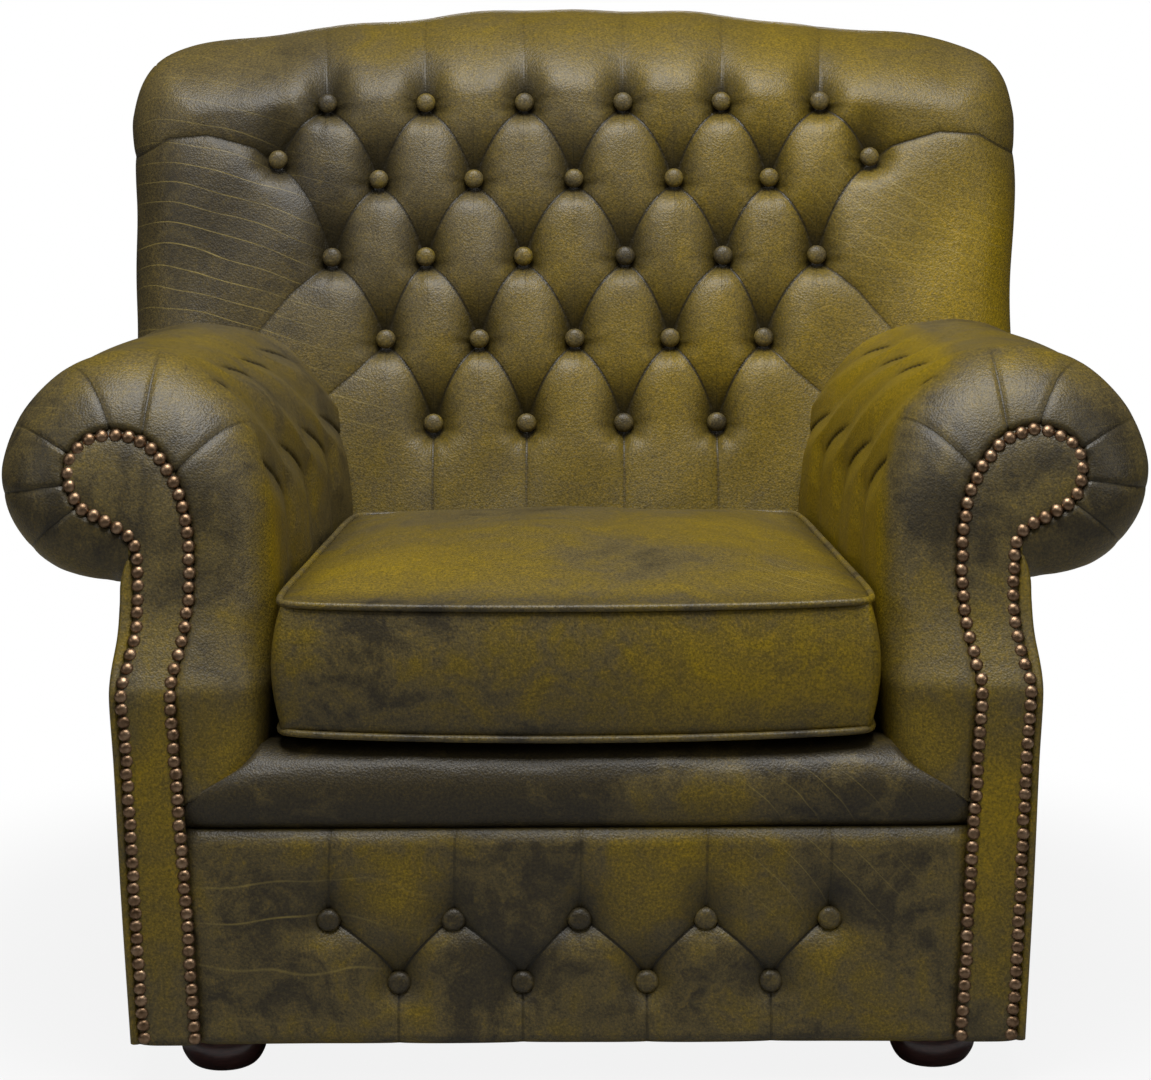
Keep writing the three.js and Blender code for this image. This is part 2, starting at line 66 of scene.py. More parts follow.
camera_data = bpy.data.cameras.new("front_camera")
camera_data.sensor_width = 36.0
camera_data.lens = 111.4
camera = bpy.data.objects.new("front_camera", camera_data)
camera.location = (0.003, CHAIR_FRONT - CAMERA_DISTANCE, CAMERA_HEIGHT)
camera.rotation_euler = (math.radians(90.0 - CAMERA_PITCH), math.radians(CAMERA_ROLL), 0.0)
bpy.context.collection.objects.link(camera)
bpy.context.scene.camera = camera
bpy.context.scene.view_settings.view_transform = "Standard"
print("lens", camera_data.lens, "mm")

# %% [markdown]
# ## From arrays to meshes
# Every piece is a closed body of one of three kinds. A tube is a stack of closed loops with a cap at each
# end. A slab is a front grid, a rear grid with the same edge, and loops round the side between them. A
# shell has a fan in place of the rear grid. All are turned outward by the sign of their volume. They could
# be sculpted by hand, but an array can be changed by one number and gives the same mesh each time.

# %% grids and loops
def grid_faces(rows, cols, wrap=False, first=0):
    """Quads between neighbours of a rows by cols grid; wrap joins the last column to the first."""
    r = np.arange(rows - 1)[:, None]
    c = np.arange(cols if wrap else cols - 1)[None, :]
    a = r * cols + c
    b = r * cols + (c + 1) % cols
    return np.stack([a, b, b + cols, a + cols], axis=-1).reshape(-1, 4) + first


def edge_of(rows, cols):
    """Indices of a grid's edge as one loop: first row, last column, last row, first column."""
    index = np.arange(rows * cols).reshape(rows, cols)
    return np.concatenate([index[0, :-1], index[:-1, -1], index[-1, :0:-1], index[:0:-1, 0]])


def loop_faces(a, b):
    """Quads between two loops of vertex indices of the same length."""
    return np.stack([a, np.roll(a, -1), np.roll(b, -1), b], axis=-1)


print("faces of a 3 by 3 grid:", len(grid_faces(3, 3)), "points on its edge:", len(edge_of(3, 3)))


# %% closed bodies
def tube(loops):
    """Vertices, quads and triangles of a stack of closed loops, each end closed by a fan to its middle."""
    rows, cols, _ = loops.shape
    ends = np.stack([loops[0].mean(axis=0), loops[-1].mean(axis=0)])
    verts = np.concatenate([loops.reshape(-1, 3), ends])
    j = np.arange(cols)
    k = (j + 1) % cols
    last = (rows - 1) * cols
    fans = np.concatenate([
        np.stack([k, j, np.full(cols, rows * cols)], axis=-1),
        np.stack([last + j, last + k, np.full(cols, rows * cols + 1)], axis=-1),
    ])
    return verts, grid_faces(rows, cols, wrap=True), fans


def walled(front, sides):
    """Vertices and quads of a front grid and its side loops, the last loop and the next free index."""
    rows, cols, _ = front.shape
    faces = [grid_faces(rows, cols)]
    loop, start = edge_of(rows, cols), rows * cols
    for side in sides:
        following = start + np.arange(len(side))
        faces.append(loop_faces(following, loop))
        loop, start = following, start + len(side)
    return [front.reshape(-1, 3), *sides], faces, loop, start


def slab(front, sides, rear):
    """Vertices and quads of a front grid, side loops and a rear grid whose edges follow each other."""
    rows, cols, _ = front.shape
    verts, faces, loop, start = walled(front, sides)
    faces += [loop_faces(start + edge_of(rows, cols), loop), grid_faces(rows, cols, first=start)[:, ::-1]]
    return np.concatenate([*verts, rear.reshape(-1, 3)]), np.concatenate(faces), np.zeros((0, 3), int)


def shell(front, sides):
    """Vertices, quads and triangles of a front grid, side loops and a fan that closes the last loop."""
    verts, faces, loop, start = walled(front, sides)
    fan = np.stack([loop, np.roll(loop, -1), np.full(len(loop), start)], axis=-1)
    return np.concatenate([*verts, sides[-1].mean(axis=0)[None]]), np.concatenate(faces), fan


def volume_of(verts, quads, tris):
    """Signed volume: the sum over triangles of a . (b x c) / 6."""
    all_tris = np.concatenate([quads[:, [0, 1, 2]], quads[:, [0, 2, 3]], tris])
    a, b, c = (verts[all_tris[:, i]] for i in range(3))
    return float(np.einsum("ij,ij->i", a, np.cross(b, c)).sum() / 6.0)


print("a tube of 2 loops of 4 points has", len(tube(np.zeros((2, 4, 3)))[0]), "vertices")


# %% pieces of the chair
SPLAY_AT_FLOOR, SPLAY_PER_MM = 1.052, 0.00006


def splayed(verts):
    """The chair spreads towards the floor: its width shrinks a little with each mm of height."""
    wider = SPLAY_AT_FLOOR - SPLAY_PER_MM * verts[:, 2]
    return verts * np.stack([wider, *np.ones((2, len(verts)))], axis=-1)


def body(name, verts, quads, tris=np.zeros((0, 3), int), upright=False, **attributes):
    """A smooth mesh object from millimetre arrays, faces outward, with one float attribute per keyword."""
    verts = verts if upright else splayed(verts)
    if volume_of(verts, quads, tris) < 0:
        quads, tris = quads[:, ::-1], tris[:, ::-1]
    mesh = bpy.data.meshes.new(name)
    mesh.from_pydata((verts * MM).tolist(), [], quads.tolist() + tris.tolist())
    mesh.polygons.foreach_set("use_smooth", np.ones(len(mesh.polygons), bool))
    for key, values in attributes.items():
        full = np.zeros(len(verts))
        full[:len(values)] = values
        mesh.attributes.new(key, "FLOAT", "POINT").data.foreach_set("value", full)
    mesh.update()
    obj = bpy.data.objects.new(name, mesh)
    bpy.context.collection.objects.link(obj)
    return obj


def fit_on(obj, material, slot, *nodes, fill=None):
    """Gives a piece its material, hangs it under the root and hides the nodes it stands for; slot and fill
    are not used.
    """
    obj.data.materials.clear()
    obj.data.materials.append(material)
    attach(obj, "root")
    if nodes:
        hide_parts(*nodes)
    print(obj.name, len(obj.data.polygons), "faces")
    return obj


print("width at the floor grows by", SPLAY_AT_FLOOR)


# %% curves and patches
def run_along(points):
    """Length along a line of points, 0 at its first point."""
    return np.concatenate([[0], np.cumsum(np.linalg.norm(np.diff(points, axis=0), axis=1))])


def smooth_path(points, count):
    """A Catmull-Rom curve through the points, sampled at count equal steps of arc length."""
    p = np.asarray(points, float)
    p = np.concatenate([2 * p[:1] - p[1:2], p, 2 * p[-1:] - p[-2:-1]])
    t = np.linspace(0, len(points) - 1, 40 * len(points))
    i = np.minimum(t.astype(int), len(points) - 2)
    f = (t - i)[:, None]
    a, b, c, d = p[i], p[i + 1], p[i + 2], p[i + 3]
    q = 0.5 * (2 * b + (c - a) * f + (2 * a - 5 * b + 4 * c - d) * f**2 + (3 * b - a - 3 * c + d) * f**3)
    run = run_along(q)
    steps = np.linspace(0, run[-1], count)
    return np.stack([np.interp(steps, run, q[:, k]) for k in range(p.shape[1])], axis=-1)


def normals_of(grid):
    """Unit normals of a grid: the cross product of its two slopes."""
    n = np.cross(np.gradient(grid, axis=0), np.gradient(grid, axis=1))
    return n / np.maximum(np.linalg.norm(n, axis=-1, keepdims=True), 1e-9)


def ramp(x, low, high):
    """0 below low, 1 above high, a smooth step between."""
    t = np.clip((x - low) / (high - low), 0, 1)
    return t * t * (3 - 2 * t)


def spot(x, y, cx, cy, rx, ry):
    """A soft round patch: exp of minus the squared distance over its radii."""
    return np.exp(-(((x - cx) / rx) ** 2 + ((y - cy) / ry) ** 2))


def spots(x, y, table):
    """The sum of soft round patches; a row is (amount, middle x, middle y, radius x, radius y)."""
    return sum(amount * spot(x, y, *place) for amount, *place in table)


print("three points of a straight path:", smooth_path([(0, 0), (10, 0)], 3).tolist())

# %% [markdown]
# ## The leather
# The hide was dyed olive green and rubbed by hand: slate-grey and yellow clouds lie over each other, a fine
# grain covers everything, shade is painted into the pleats and hollows, and old stretch lines show a pale
# yellow. All of it is made of noise on Object coordinates, steered by values stored on the mesh: fold (shade
# painted into hollows, creases, beside the nails and under the cushion, and darker seams and rims), pleat and
# hold (distance to a pleat and its strength, which draw a thin line of painted shade), yellow (where the dye
# is rubbed through, and a painted highlight on the arm facings), even (how calm the clouds are), strain and
# line (which way stretch lines run, and where) and scratch. A picture of leather could be wrapped round the
# chair instead, but it would show seams, and its wear would not know where the folds are.

# %% material helpers
def new_material(name):
    """A material with an empty tree but for its shader; returns the tree and the shader."""
    material = bpy.data.materials.new(name)
    material.use_nodes = True
    tree = material.node_tree
    return material, tree, tree.nodes["Principled BSDF"]


def put(tree, kind, links=(), **values):
    """Adds a node: links are (input, output socket) pairs, values are settings or input numbers."""
    made = tree.nodes.new(kind)
    for key, value in values.items():
        if hasattr(made, key):
            setattr(made, key, value)
        else:
            made.inputs[key.replace("_", " ")].default_value = value
    for key, socket in links:
        tree.links.new(made.inputs[key], socket)
    return made


def math_node(tree, operation, a, b, clamp=False):
    """One sum on two sockets or numbers."""
    made = tree.nodes.new("ShaderNodeMath")
    made.operation = operation
    made.use_clamp = clamp
    for i, value in enumerate((a, b)):
        if isinstance(value, (int, float)):
            made.inputs[i].default_value = value
        else:
            tree.links.new(made.inputs[i], value)
    return made.outputs[0]


def colour_ramp(tree, socket, stops):
    """A colour ramp; stops are (place, (r, g, b))."""
    made = tree.nodes.new("ShaderNodeValToRGB")
    elements = made.color_ramp.elements
    while len(elements) < len(stops):
        elements.new(0.5)
    for element, (place, colour) in zip(elements, stops):
        element.position = place
        element.color = (*colour, 1.0)
    tree.links.new(made.inputs[0], socket)
    return made.outputs[0]


def mix_colour(tree, factor, a, b, blend="MIX"):
    """A colour mix; a and b are sockets or colours, factor a socket or number."""
    made = tree.nodes.new("ShaderNodeMix")
    made.data_type = "RGBA"
    made.blend_type = blend
    for place, value in ((0, factor), (6, a), (7, b)):
        if isinstance(value, (int, float)):
            made.inputs[place].default_value = value
        elif isinstance(value, tuple):
            made.inputs[place].default_value = (*value, 1.0)
        else:
            tree.links.new(made.inputs[place], value)
    return made.outputs[2]


print("helpers for node trees ready")


# %% texture helpers
def noise(tree, coords, scale, detail=3.0, roughness=0.55, distortion=0.0):
    """Noise between 0 and 1 on the given coordinates, scale in cycles per metre."""
    made = put(tree, "ShaderNodeTexNoise", [("Vector", coords)], Scale=scale, Detail=detail,
               Roughness=roughness, Distortion=distortion)
    return made.outputs["Fac"]


def stored(tree, name):
    """A float attribute of the mesh."""
    return put(tree, "ShaderNodeAttribute", attribute_name=name).outputs["Fac"]


def remap(tree, socket, low, high, to_low=0.0, to_high=1.0, smooth=False):
    """A value moved from the span low..high to the span to_low..to_high, by a smooth step if asked."""
    made = put(tree, "ShaderNodeMapRange", [("Value", socket)],
               interpolation_type="SMOOTHSTEP" if smooth else "LINEAR")
    for key, value in (("From Min", low), ("From Max", high), ("To Min", to_low), ("To Max", to_high)):
        made.inputs[key].default_value = value
    return made.outputs["Result"]


def thin_lines(tree, coords, direction, spacing, bend, width):
    """Wandering thin lines: a wave across direction, bent by noise, cut off close to its crest."""
    wave = put(tree, "ShaderNodeTexWave", [("Vector", coords)], wave_type="BANDS", bands_direction=direction,
               Scale=1.0 / spacing / 3.14, Distortion=bend, Detail=3.0, Detail_Scale=0.35,
               Detail_Roughness=0.6)
    return remap(tree, wave.outputs["Fac"], 1.0 - width, 1.0)


print("helpers for textures ready")

# %% leather
SLATE = (0.037, 0.029, 0.014)
OLIVE_GREY = (0.093, 0.071, 0.026)
OLIVE = (0.126, 0.090, 0.012)
RUBBED = (0.196, 0.135, 0.003)
PALE_LINE = (0.29, 0.22, 0.06)
# Painted shade: the dark colour that fold and the thin pleat lines mix into the leather.
PAINTED_SHADE_COLOUR = (0.012, 0.009, 0.003)
PLEAT_CORE_MM, PLEAT_EDGE_MM = 0.6, 2.0
LINE_SHARE = 0.042
MEAN_CLOUD, YELLOW_SHIFT = 0.5, 0.34
CLOUDS = ((0.45, 5.5, 4.0, 0.56, 1.0), (0.40, 17.0, 4.0, 0.60, 1.6), (0.15, 52.0, 3.0, 0.6, 0.8))
DYES = ((0.37, SLATE), (0.46, OLIVE_GREY), (0.55, OLIVE), (0.72, RUBBED))
SPECKLE = ((0.30, (0.55, 0.54, 0.56)), (0.52, (1.0, 1.0, 1.0)), (0.72, (1.62, 1.46, 0.9)))
SPECKLE_SCALE, PEBBLE_SCALE, GRAIN_SCALE = 430.0, 520.0, 160.0
# The most painted shade that fold and the pleat lines can give.
MOST_PAINTED_SHADE = 0.92
LEATHER_ROUGHNESS = (0.36, 0.52)


def make_leather(name):
    """Clouds of four dyes, calmed by even; speckle; painted shade and darker seams by fold and pleats; pale
    lines; a pebbled bump.
    """
    material, tree, shader = new_material(name)
    coords = put(tree, "ShaderNodeTexCoord").outputs["Object"]
    fold = stored(tree, "fold")
    layers = [math_node(tree, "MULTIPLY", noise(tree, coords, *cloud), share) for share, *cloud in CLOUDS]
    clouds = math_node(tree, "ADD", math_node(tree, "ADD", *layers[:2]), layers[2])
    contrast = math_node(tree, "SUBTRACT", 1.0, stored(tree, "even"))
    clouds = math_node(tree, "MULTIPLY", math_node(tree, "SUBTRACT", clouds, MEAN_CLOUD), contrast)
    clouds = math_node(tree, "ADD", clouds, MEAN_CLOUD)
    clouds = math_node(tree, "ADD", clouds, math_node(tree, "MULTIPLY", stored(tree, "yellow"), YELLOW_SHIFT))
    grainy = colour_ramp(tree, noise(tree, coords, SPECKLE_SCALE, 2.0, 0.7), SPECKLE)
    dyed = mix_colour(tree, 1.0, colour_ramp(tree, clouds, DYES), grainy, "MULTIPLY")
    wander = math_node(tree, "MULTIPLY", noise(tree, coords, 4.5, 2.0), 2.8)
    level = math_node(tree, "PINGPONG", math_node(tree, "ADD", stored(tree, "strain"), wander), 0.5)
    stretch = remap(tree, level, LINE_SHARE, 0.0, smooth=True)
    stretch = math_node(tree, "MULTIPLY", stretch, stored(tree, "line"), clamp=True)
    scratch = thin_lines(tree, coords, "DIAGONAL", 0.016, 2.6, 0.008)
    scratch = math_node(tree, "MULTIPLY", scratch, stored(tree, "scratch"), clamp=True)
    broken = noise(tree, coords, 34.0, 2.0)
    pale = math_node(tree, "MULTIPLY", math_node(tree, "MAXIMUM", stretch, scratch),
                     math_node(tree, "MULTIPLY", broken, 1.25), clamp=True)
    marked = mix_colour(tree, pale, dyed, PALE_LINE)
    # Painted shade: a thin dark line along each pleat; together with fold it mixes the leather towards the
    # dark colour.
    gap = math_node(tree, "ABSOLUTE", stored(tree, "pleat"), 0.0)
    stitch = remap(tree, gap, PLEAT_EDGE_MM, PLEAT_CORE_MM, smooth=True)
    crevice = math_node(tree, "MULTIPLY", stitch, stored(tree, "hold"), clamp=True)
    painted_shade = math_node(tree, "MULTIPLY", math_node(tree, "MAXIMUM", fold, crevice), MOST_PAINTED_SHADE, clamp=True)
    tree.links.new(shader.inputs["Base Color"], mix_colour(tree, painted_shade, marked, PAINTED_SHADE_COLOUR))
    shader.inputs["Specular IOR Level"].default_value = 0.33
    patchy = noise(tree, coords, 15.0, 3.0)
    tree.links.new(shader.inputs["Roughness"], remap(tree, patchy, 0.0, 1.0, *LEATHER_ROUGHNESS))
    pebbles = put(tree, "ShaderNodeTexVoronoi", [("Vector", coords)], feature="F1", Scale=PEBBLE_SCALE)
    height = math_node(tree, "ADD", pebbles.outputs["Distance"],
                       math_node(tree, "MULTIPLY", noise(tree, coords, GRAIN_SCALE, 2.0, 0.65), 0.9))
    height = math_node(tree, "SUBTRACT", height, math_node(tree, "MULTIPLY", crevice, 1.6))
    bump = put(tree, "ShaderNodeBump", [("Height", height)], Strength=0.3, Distance=0.0009)
    tree.links.new(shader.inputs["Normal"], bump.outputs["Normal"])
    return material


leather = make_leather("green_leather")
print("leather nodes:", len(leather.node_tree.nodes))

# %% [markdown]
# ## Pleats and buttons
# Deep buttoning ties the leather down at each button, and the spare leather folds into pleats from button
# to button. The depth below the puffed skin is worked out from distances: a sharp groove and a broad slope
# beside each pleat, and a hollow at each button that reaches further above it than below. A cloth
# simulation could fold real pleats, but it would need a very fine mesh and would not put each pleat where
# it belongs.

# %% pleat curve
def pleat(upper, lower, strength=(1.0, 1.0), steps=12):
    """A curve from an upper point to a lower one that leaves sideways and arrives steeply.

    It is a quadratic curve whose middle handle lies three quarters across and three eighths down. The
    third column is the strength from end to end."""
    p0, p2 = np.asarray(upper, float), np.asarray(lower, float)
    p1 = p0 + (p2 - p0) * np.array([0.75, 0.38])
    t = np.linspace(0, 1, steps)[:, None]
    xy = (1 - t) ** 2 * p0 + 2 * t * (1 - t) * p1 + t**2 * p2
    return np.concatenate([xy, strength[0] + (strength[1] - strength[0]) * t], axis=1)


print("pleat at its middle:", pleat((0, 0), (50, -77))[6])


# %% depth beside pleats and buttons
def near_pleats(points, pleats, groove, reach):
    """For points (N, 2): groove, slope, signed distance and strength of the pleats nearby.

    The groove is exp(-d / groove) and the slope (1 - d / reach)^2, each times the strength. The distance
    to the nearest pleat is positive on its left and negative on its right, so that it passes through zero
    on the pleat and a fine dark line can be drawn there between two vertices."""
    crease, slope, hold = np.zeros((3, len(points)))
    signed = np.full(len(points), 1e3)
    rows = np.arange(len(points))
    for curve in pleats:
        a, b = curve[:-1, :2], curve[1:, :2]
        along = b - a
        offset = points[:, None, :] - a[None]
        t = np.clip((offset * along).sum(-1) / np.maximum((along**2).sum(-1), 1e-9), 0, 1)
        gap = np.linalg.norm(offset - t[..., None] * along, axis=-1)
        j = gap.argmin(axis=1)
        s = curve[j, 2] + (curve[j + 1, 2] - curve[j, 2]) * t[rows, j]
        d = gap[rows, j]
        crease = np.maximum(crease, s * np.exp(-d / groove))
        slope = np.maximum(slope, s * np.clip(1 - d / reach, 0, 1) ** 2)
        left = np.where(along[j, 0] * offset[rows, j, 1] > along[j, 1] * offset[rows, j, 0], 1.0, -1.0)
        nearer = d < np.abs(signed)
        signed = np.where(nearer, d * left, signed)
        hold = np.where(nearer, s, hold)
    return crease, slope, signed, hold


def button_hollow(points, buttons, wide, above, below):
    """The deepest of exp(-(dx / wide)^2 - (dz / height)^2) over buttons; height differs above and below."""
    hollow = np.zeros(len(points))
    for x, z in buttons:
        dx, dz = points[:, 0] - x, points[:, 1] - z
        tall = np.where(dz > 0, above, below)
        hollow = np.maximum(hollow, np.exp(-((dx / wide) ** 2) - (dz / tall) ** 2))
    return hollow


def gathers(points, buttons, count, reach):
    """Small wrinkles that point at each button: a sine of the angle that swells and dies with distance."""
    wrinkles = np.zeros(len(points))
    for x, z in buttons:
        dx, dz = points[:, 0] - x, points[:, 1] - z
        share = np.hypot(dx, dz) / reach
        wrinkles += np.sin(count * np.arctan2(dx, dz) + 0.05 * x) * share * np.exp(-(share**2))
    return wrinkles


print("hollow 10 mm above a button:", button_hollow(np.array([[0.0, 10.0]]), [(0, 0)], 19.0, 38.0, 15.0))

# %% [markdown]
# ## The back
# The back is one large puffed pad with rows of buttons. Its outer skin leans back, rolls over at the top
# and at the sides, and the pleats are cut into it along its normals, so even the top edge dips at each
# pleat. It could be cut from a block with modifiers. Here a square grid is pulled out to the outline, ring
# by ring, because its rows then follow the edge and the roll-over stays smooth.

# %% back outline and roll-over
BACK_ROWS = {827: (50, 150, 250), 751: (0, 101, 197), 674: (51, 149, 243), 593: (0, 95, 188), 510: (48, 140)}
SIDE_BUTTON = (299, 771)
BACK_BOTTOM = 300.0
BACK_MIDDLE = 640.0


def back_front_y(z):
    """The leaning front of the back: 92 mm behind the middle at 450 mm height, 0.28 back per 1 up."""
    return 92.0 + 0.28 * (z - 450.0)


def back_rear_y(z):
    """The rear of the back, nearly upright."""
    return 402.0 + 38.0 / 823.0 * (z - 45.0)


back_top = smooth_path([(440, 474), (440, 540), (441, 610), (446, 700), (453, 790), (452, 818), (444, 846),
                        (428, 867), (403, 880), (366, 888), (300, 895), (200, 906), (100, 915), (0, 918)],
                       201)
back_top = np.concatenate([back_top, (back_top * (-1, 1))[-2::-1]])
back_ledge = np.array([(-357, 474), (-357, BACK_BOTTOM), (357, BACK_BOTTOM), (357, 474), (440, 474)], float)


def on_outline(outline, corners, p, q, middle):
    """Pulls square points (p, q) to an outline: a side of the square is a stretch between two corners.

    The outline is closed, corners are the four indices where the square's corners land, in the order
    right-bottom, right-top, left-top, left-bottom, and a ring keeps its share of the way to the rim."""
    m = np.maximum(np.abs(p), np.abs(q))
    safe = np.maximum(m, 1e-6)
    side_first = np.abs(p) >= np.abs(q)
    share = np.where(side_first, q / safe, p / safe)
    run = run_along(outline)
    c = run[np.asarray(corners)]
    right = c[0] + (c[1] - c[0]) * (share + 1) / 2
    top = c[1] + (c[2] - c[1]) * (1 - share) / 2
    left = c[2] + (c[3] - c[2]) * (1 - share) / 2
    bottom = c[3] + (run[-1] + c[0] - c[3]) * (share + 1) / 2
    at = np.where(side_first, np.where(p > 0, right, left), np.where(q > 0, top, bottom)) % run[-1]
    rim = np.stack([np.interp(at, run, outline[:, k]) for k in (0, 1)], axis=-1)
    return middle + (rim - middle) * m[..., None]


def crowded(count, bunch=0.55):
    """Numbers from -1 to 1 that crowd towards both ends."""
    t = np.linspace(-1, 1, count)
    return (1 - bunch) * t + bunch * np.sin(t * np.pi / 2)


print("top edge of the back:", len(back_top), "points")

# %% back grid
back_outline = np.concatenate([back_top, back_ledge])
right_top = int(np.argmin(np.linalg.norm(back_outline - (432, 863), axis=1)))
left_top = int(np.argmin(np.linalg.norm(back_outline - (-432, 863), axis=1)))
left_bottom = len(back_top) + 1
right_bottom = len(back_top) + 2
ROLLED = np.roll(np.arange(len(back_outline) - 1), -right_bottom)
back_loop = np.concatenate([back_outline[ROLLED], back_outline[ROLLED[:1]]])
loop_corner = [int(np.where(ROLLED == k)[0][0]) for k in (right_bottom, right_top, left_top, left_bottom)]
p, q = np.meshgrid(crowded(330, 0.35), crowded(280, 0.35))
back_xz = on_outline(back_loop, loop_corner, p, q, np.array([0.0, BACK_MIDDLE]))
print("outline points:", len(back_loop), "corners:", loop_corner)

# %% back skin
SIDE_ROLL, TOP_ROLL = 62.0, 40.0

flat = back_xz.reshape(-1, 2)
x, z = flat.T
rim_runs = [np.pad(back_top[k:k + 21], ((0, 0), (0, 1))) for k in range(0, len(back_top) - 1, 20)]
rim_gap = np.abs(near_pleats(flat, rim_runs, 1.0, 1.0)[2])
roll = SIDE_ROLL + TOP_ROLL * ramp(z, 780, 900) * ramp(-np.abs(x), -440, -380)
inward = np.clip(1 - rim_gap / roll, 0, 1)
turn = roll * (1 - np.sqrt(np.clip(1 - inward**2, 0, 1)))
back_skin = np.stack([x, back_front_y(z) + turn, z], axis=-1).reshape(*back_xz.shape[:2], 3)
print("the back rolls over by", SIDE_ROLL, "to", SIDE_ROLL + TOP_ROLL, "mm")

# %% back pleats
PLEAT_SPAN = 60.0
SIDE_PLEATS = (((299, 771, 1.0), (322, 785, 0.95), (370, 797, 0.85), (410, 794, 0.8), (450, 772, 0.75)),
               ((243, 674, 1.0), (283, 640, 0.75), (325, 590, 0.55), (360, 540, 0.4)),
               ((188, 593, 1.0), (215, 565, 0.7), (250, 535, 0.5), (290, 500, 0.3)))


def both_sides(row):
    """Places along a row from distances to the middle: each on both sides, the middle only once."""
    return sorted({s * distance for distance in row for s in (-1, 1)})


back_buttons = [(bx, bz) for bz, row in BACK_ROWS.items() for bx in both_sides(row)]
back_buttons += [(bx, SIDE_BUTTON[1]) for bx in both_sides(SIDE_BUTTON[:1])]
heights = list(BACK_ROWS)
back_pleats = [pleat((a, high), (b, low)) for high, low in zip(heights, heights[1:])
               for a in both_sides(BACK_ROWS[high]) for b in both_sides(BACK_ROWS[low])
               if abs(a - b) < PLEAT_SPAN]
for s in (-1, 1):
    back_pleats.append(pleat((s * 250, 827), (s * 299, 771)))
    back_pleats.append(pleat((s * 299, 771), (s * 243, 674)))
    back_pleats += [np.array(points) * (s, 1, 1) for points in SIDE_PLEATS]
for bx in both_sides(BACK_ROWS[827]):
    back_pleats.append(np.array([(bx, 827, 1.0), (1.01 * bx, 860, 0.5), (1.02 * bx, 900, 0.3),
                                 (1.02 * bx, 925, 0.2)]))
for bx in both_sides(BACK_ROWS[510]):
    back_pleats.append(np.array([(bx, 510, 1.0), (bx, 470, 0.6), (bx, 420, 0.5)]))
print("back:", len(back_buttons), "buttons,", len(back_pleats), "pleats")

# %% back depth
GROOVE_DEPTH, SLOPE_DEPTH, HOLLOW_DEPTH, GATHER_DEPTH = 3.5, 6.5, 14.0, 1.5

crease, slope, signed, hold = near_pleats(flat, back_pleats, 2.8, 40.0)
hollow = button_hollow(flat, back_buttons, 19.0, 38.0, 15.0)
fade = 0.45 + 0.55 * button_hollow(flat, back_buttons, 52.0, 60.0, 60.0)
fade *= 1 - 0.7 * ramp(z, 855, 905)
depth = (GROOVE_DEPTH * crease + SLOPE_DEPTH * slope) * fade + HOLLOW_DEPTH * hollow
depth += GATHER_DEPTH * gathers(flat, back_buttons, 8, 17.0)
depth += 1.2 * np.sin(x / 31.0 + z / 47.0) + 0.8 * np.sin(x / 19.0 - z / 23.0)
outward = normals_of(back_skin)
outward *= -np.sign(outward[..., 1:2].mean())
back_front = back_skin - outward * depth.reshape(back_xz.shape[:2])[..., None]
print("deepest point of the back:", round(float(depth.max()), 1), "mm")

# %% back wear and painted shade
BACK_RUBBED = ((0.85, 415, 650, 75, 75), (0.12, 230, 860, 90, 60), (-0.42, -350, 720, 190, 200),
               (0.25, 150, 540, 170, 110), (0.2, 300, 760, 120, 90), (-0.1, -60, 760, 200, 120))
BACK_STRETCHED = ((1.0, -370, 680, 100, 150), (0.55, -250, 530, 120, 90), (0.7, 340, 700, 120, 90),
                  (0.3, 60, 840, 200, 60))
BACK_SCRATCHED = ((0.9, 300, 720, 90, 70),)
STRETCH_SPACING = 21.0

from_side = x + 441.0
# fold is painted shade: a little along the pleats, and a dark hollow round each button that reaches higher
# above it.
back_wear_and_shade = dict(
    fold=np.clip(0.35 * crease + button_hollow(flat, back_buttons, 21.0, 46.0, 12.0), 0, 1),
    pleat=signed, hold=hold, yellow=0.09 + spots(x, z, BACK_RUBBED), even=np.full(len(flat), 0.6),
    strain=(z + 0.3 * from_side + 26.0 * np.exp(-from_side / 45.0)) / STRETCH_SPACING,
    line=spots(x, z, BACK_STRETCHED), scratch=spots(x, z, BACK_SCRATCHED))
print("wear on the back:", ", ".join(back_wear_and_shade))

# %% back sides
REAR_DROP = 46.0

rim = back_front.reshape(-1, 3)[edge_of(*back_xz.shape[:2])]
drop = REAR_DROP * ramp(rim[:, 2], 800, 900)
sides = []
for share in (0.12, 0.3, 0.5, 0.7, 0.86, 0.95, 0.99):
    side = rim.copy()
    side[:, 1] = rim[:, 1] + (back_rear_y(rim[:, 2]) - 10.0 - rim[:, 1]) * share
    side[:, 2] = rim[:, 2] - drop * share**2.5
    side[:, 0] = rim[:, 0] * (1 - 0.006 * share**3)
    sides.append(side)
back_pad = body("buttoned_back", *shell(back_front, sides), **back_wear_and_shade)
fit_on(back_pad, leather, "green_leather", "back_pad", fill=0.8)

# %% [markdown]
# ## Covered buttons
# Each button is a leather-covered dome pulled into its hollow. One profile is spun round once and copied to
# every place as an array, tilted to face out of the pad it sits in. Linked copies would do for a picture,
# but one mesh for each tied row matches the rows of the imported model.

# %% button helpers
BUTTON_PROFILE = smooth_path([(0.0, 7.6), (5.0, 7.0), (8.4, 5.2), (9.7, 2.6), (9.3, 0.2), (7.0, -1.4)], 12)


def spin(profile, count):
    """A profile of (radius, height) turned round the vertical axis into closed loops."""
    angle = np.linspace(0, 2 * np.pi, count, endpoint=False)
    r, h = profile[:, 0][:, None], profile[:, 1][:, None]
    return np.stack([r * np.cos(angle), r * np.sin(angle), h + 0 * angle], axis=-1)


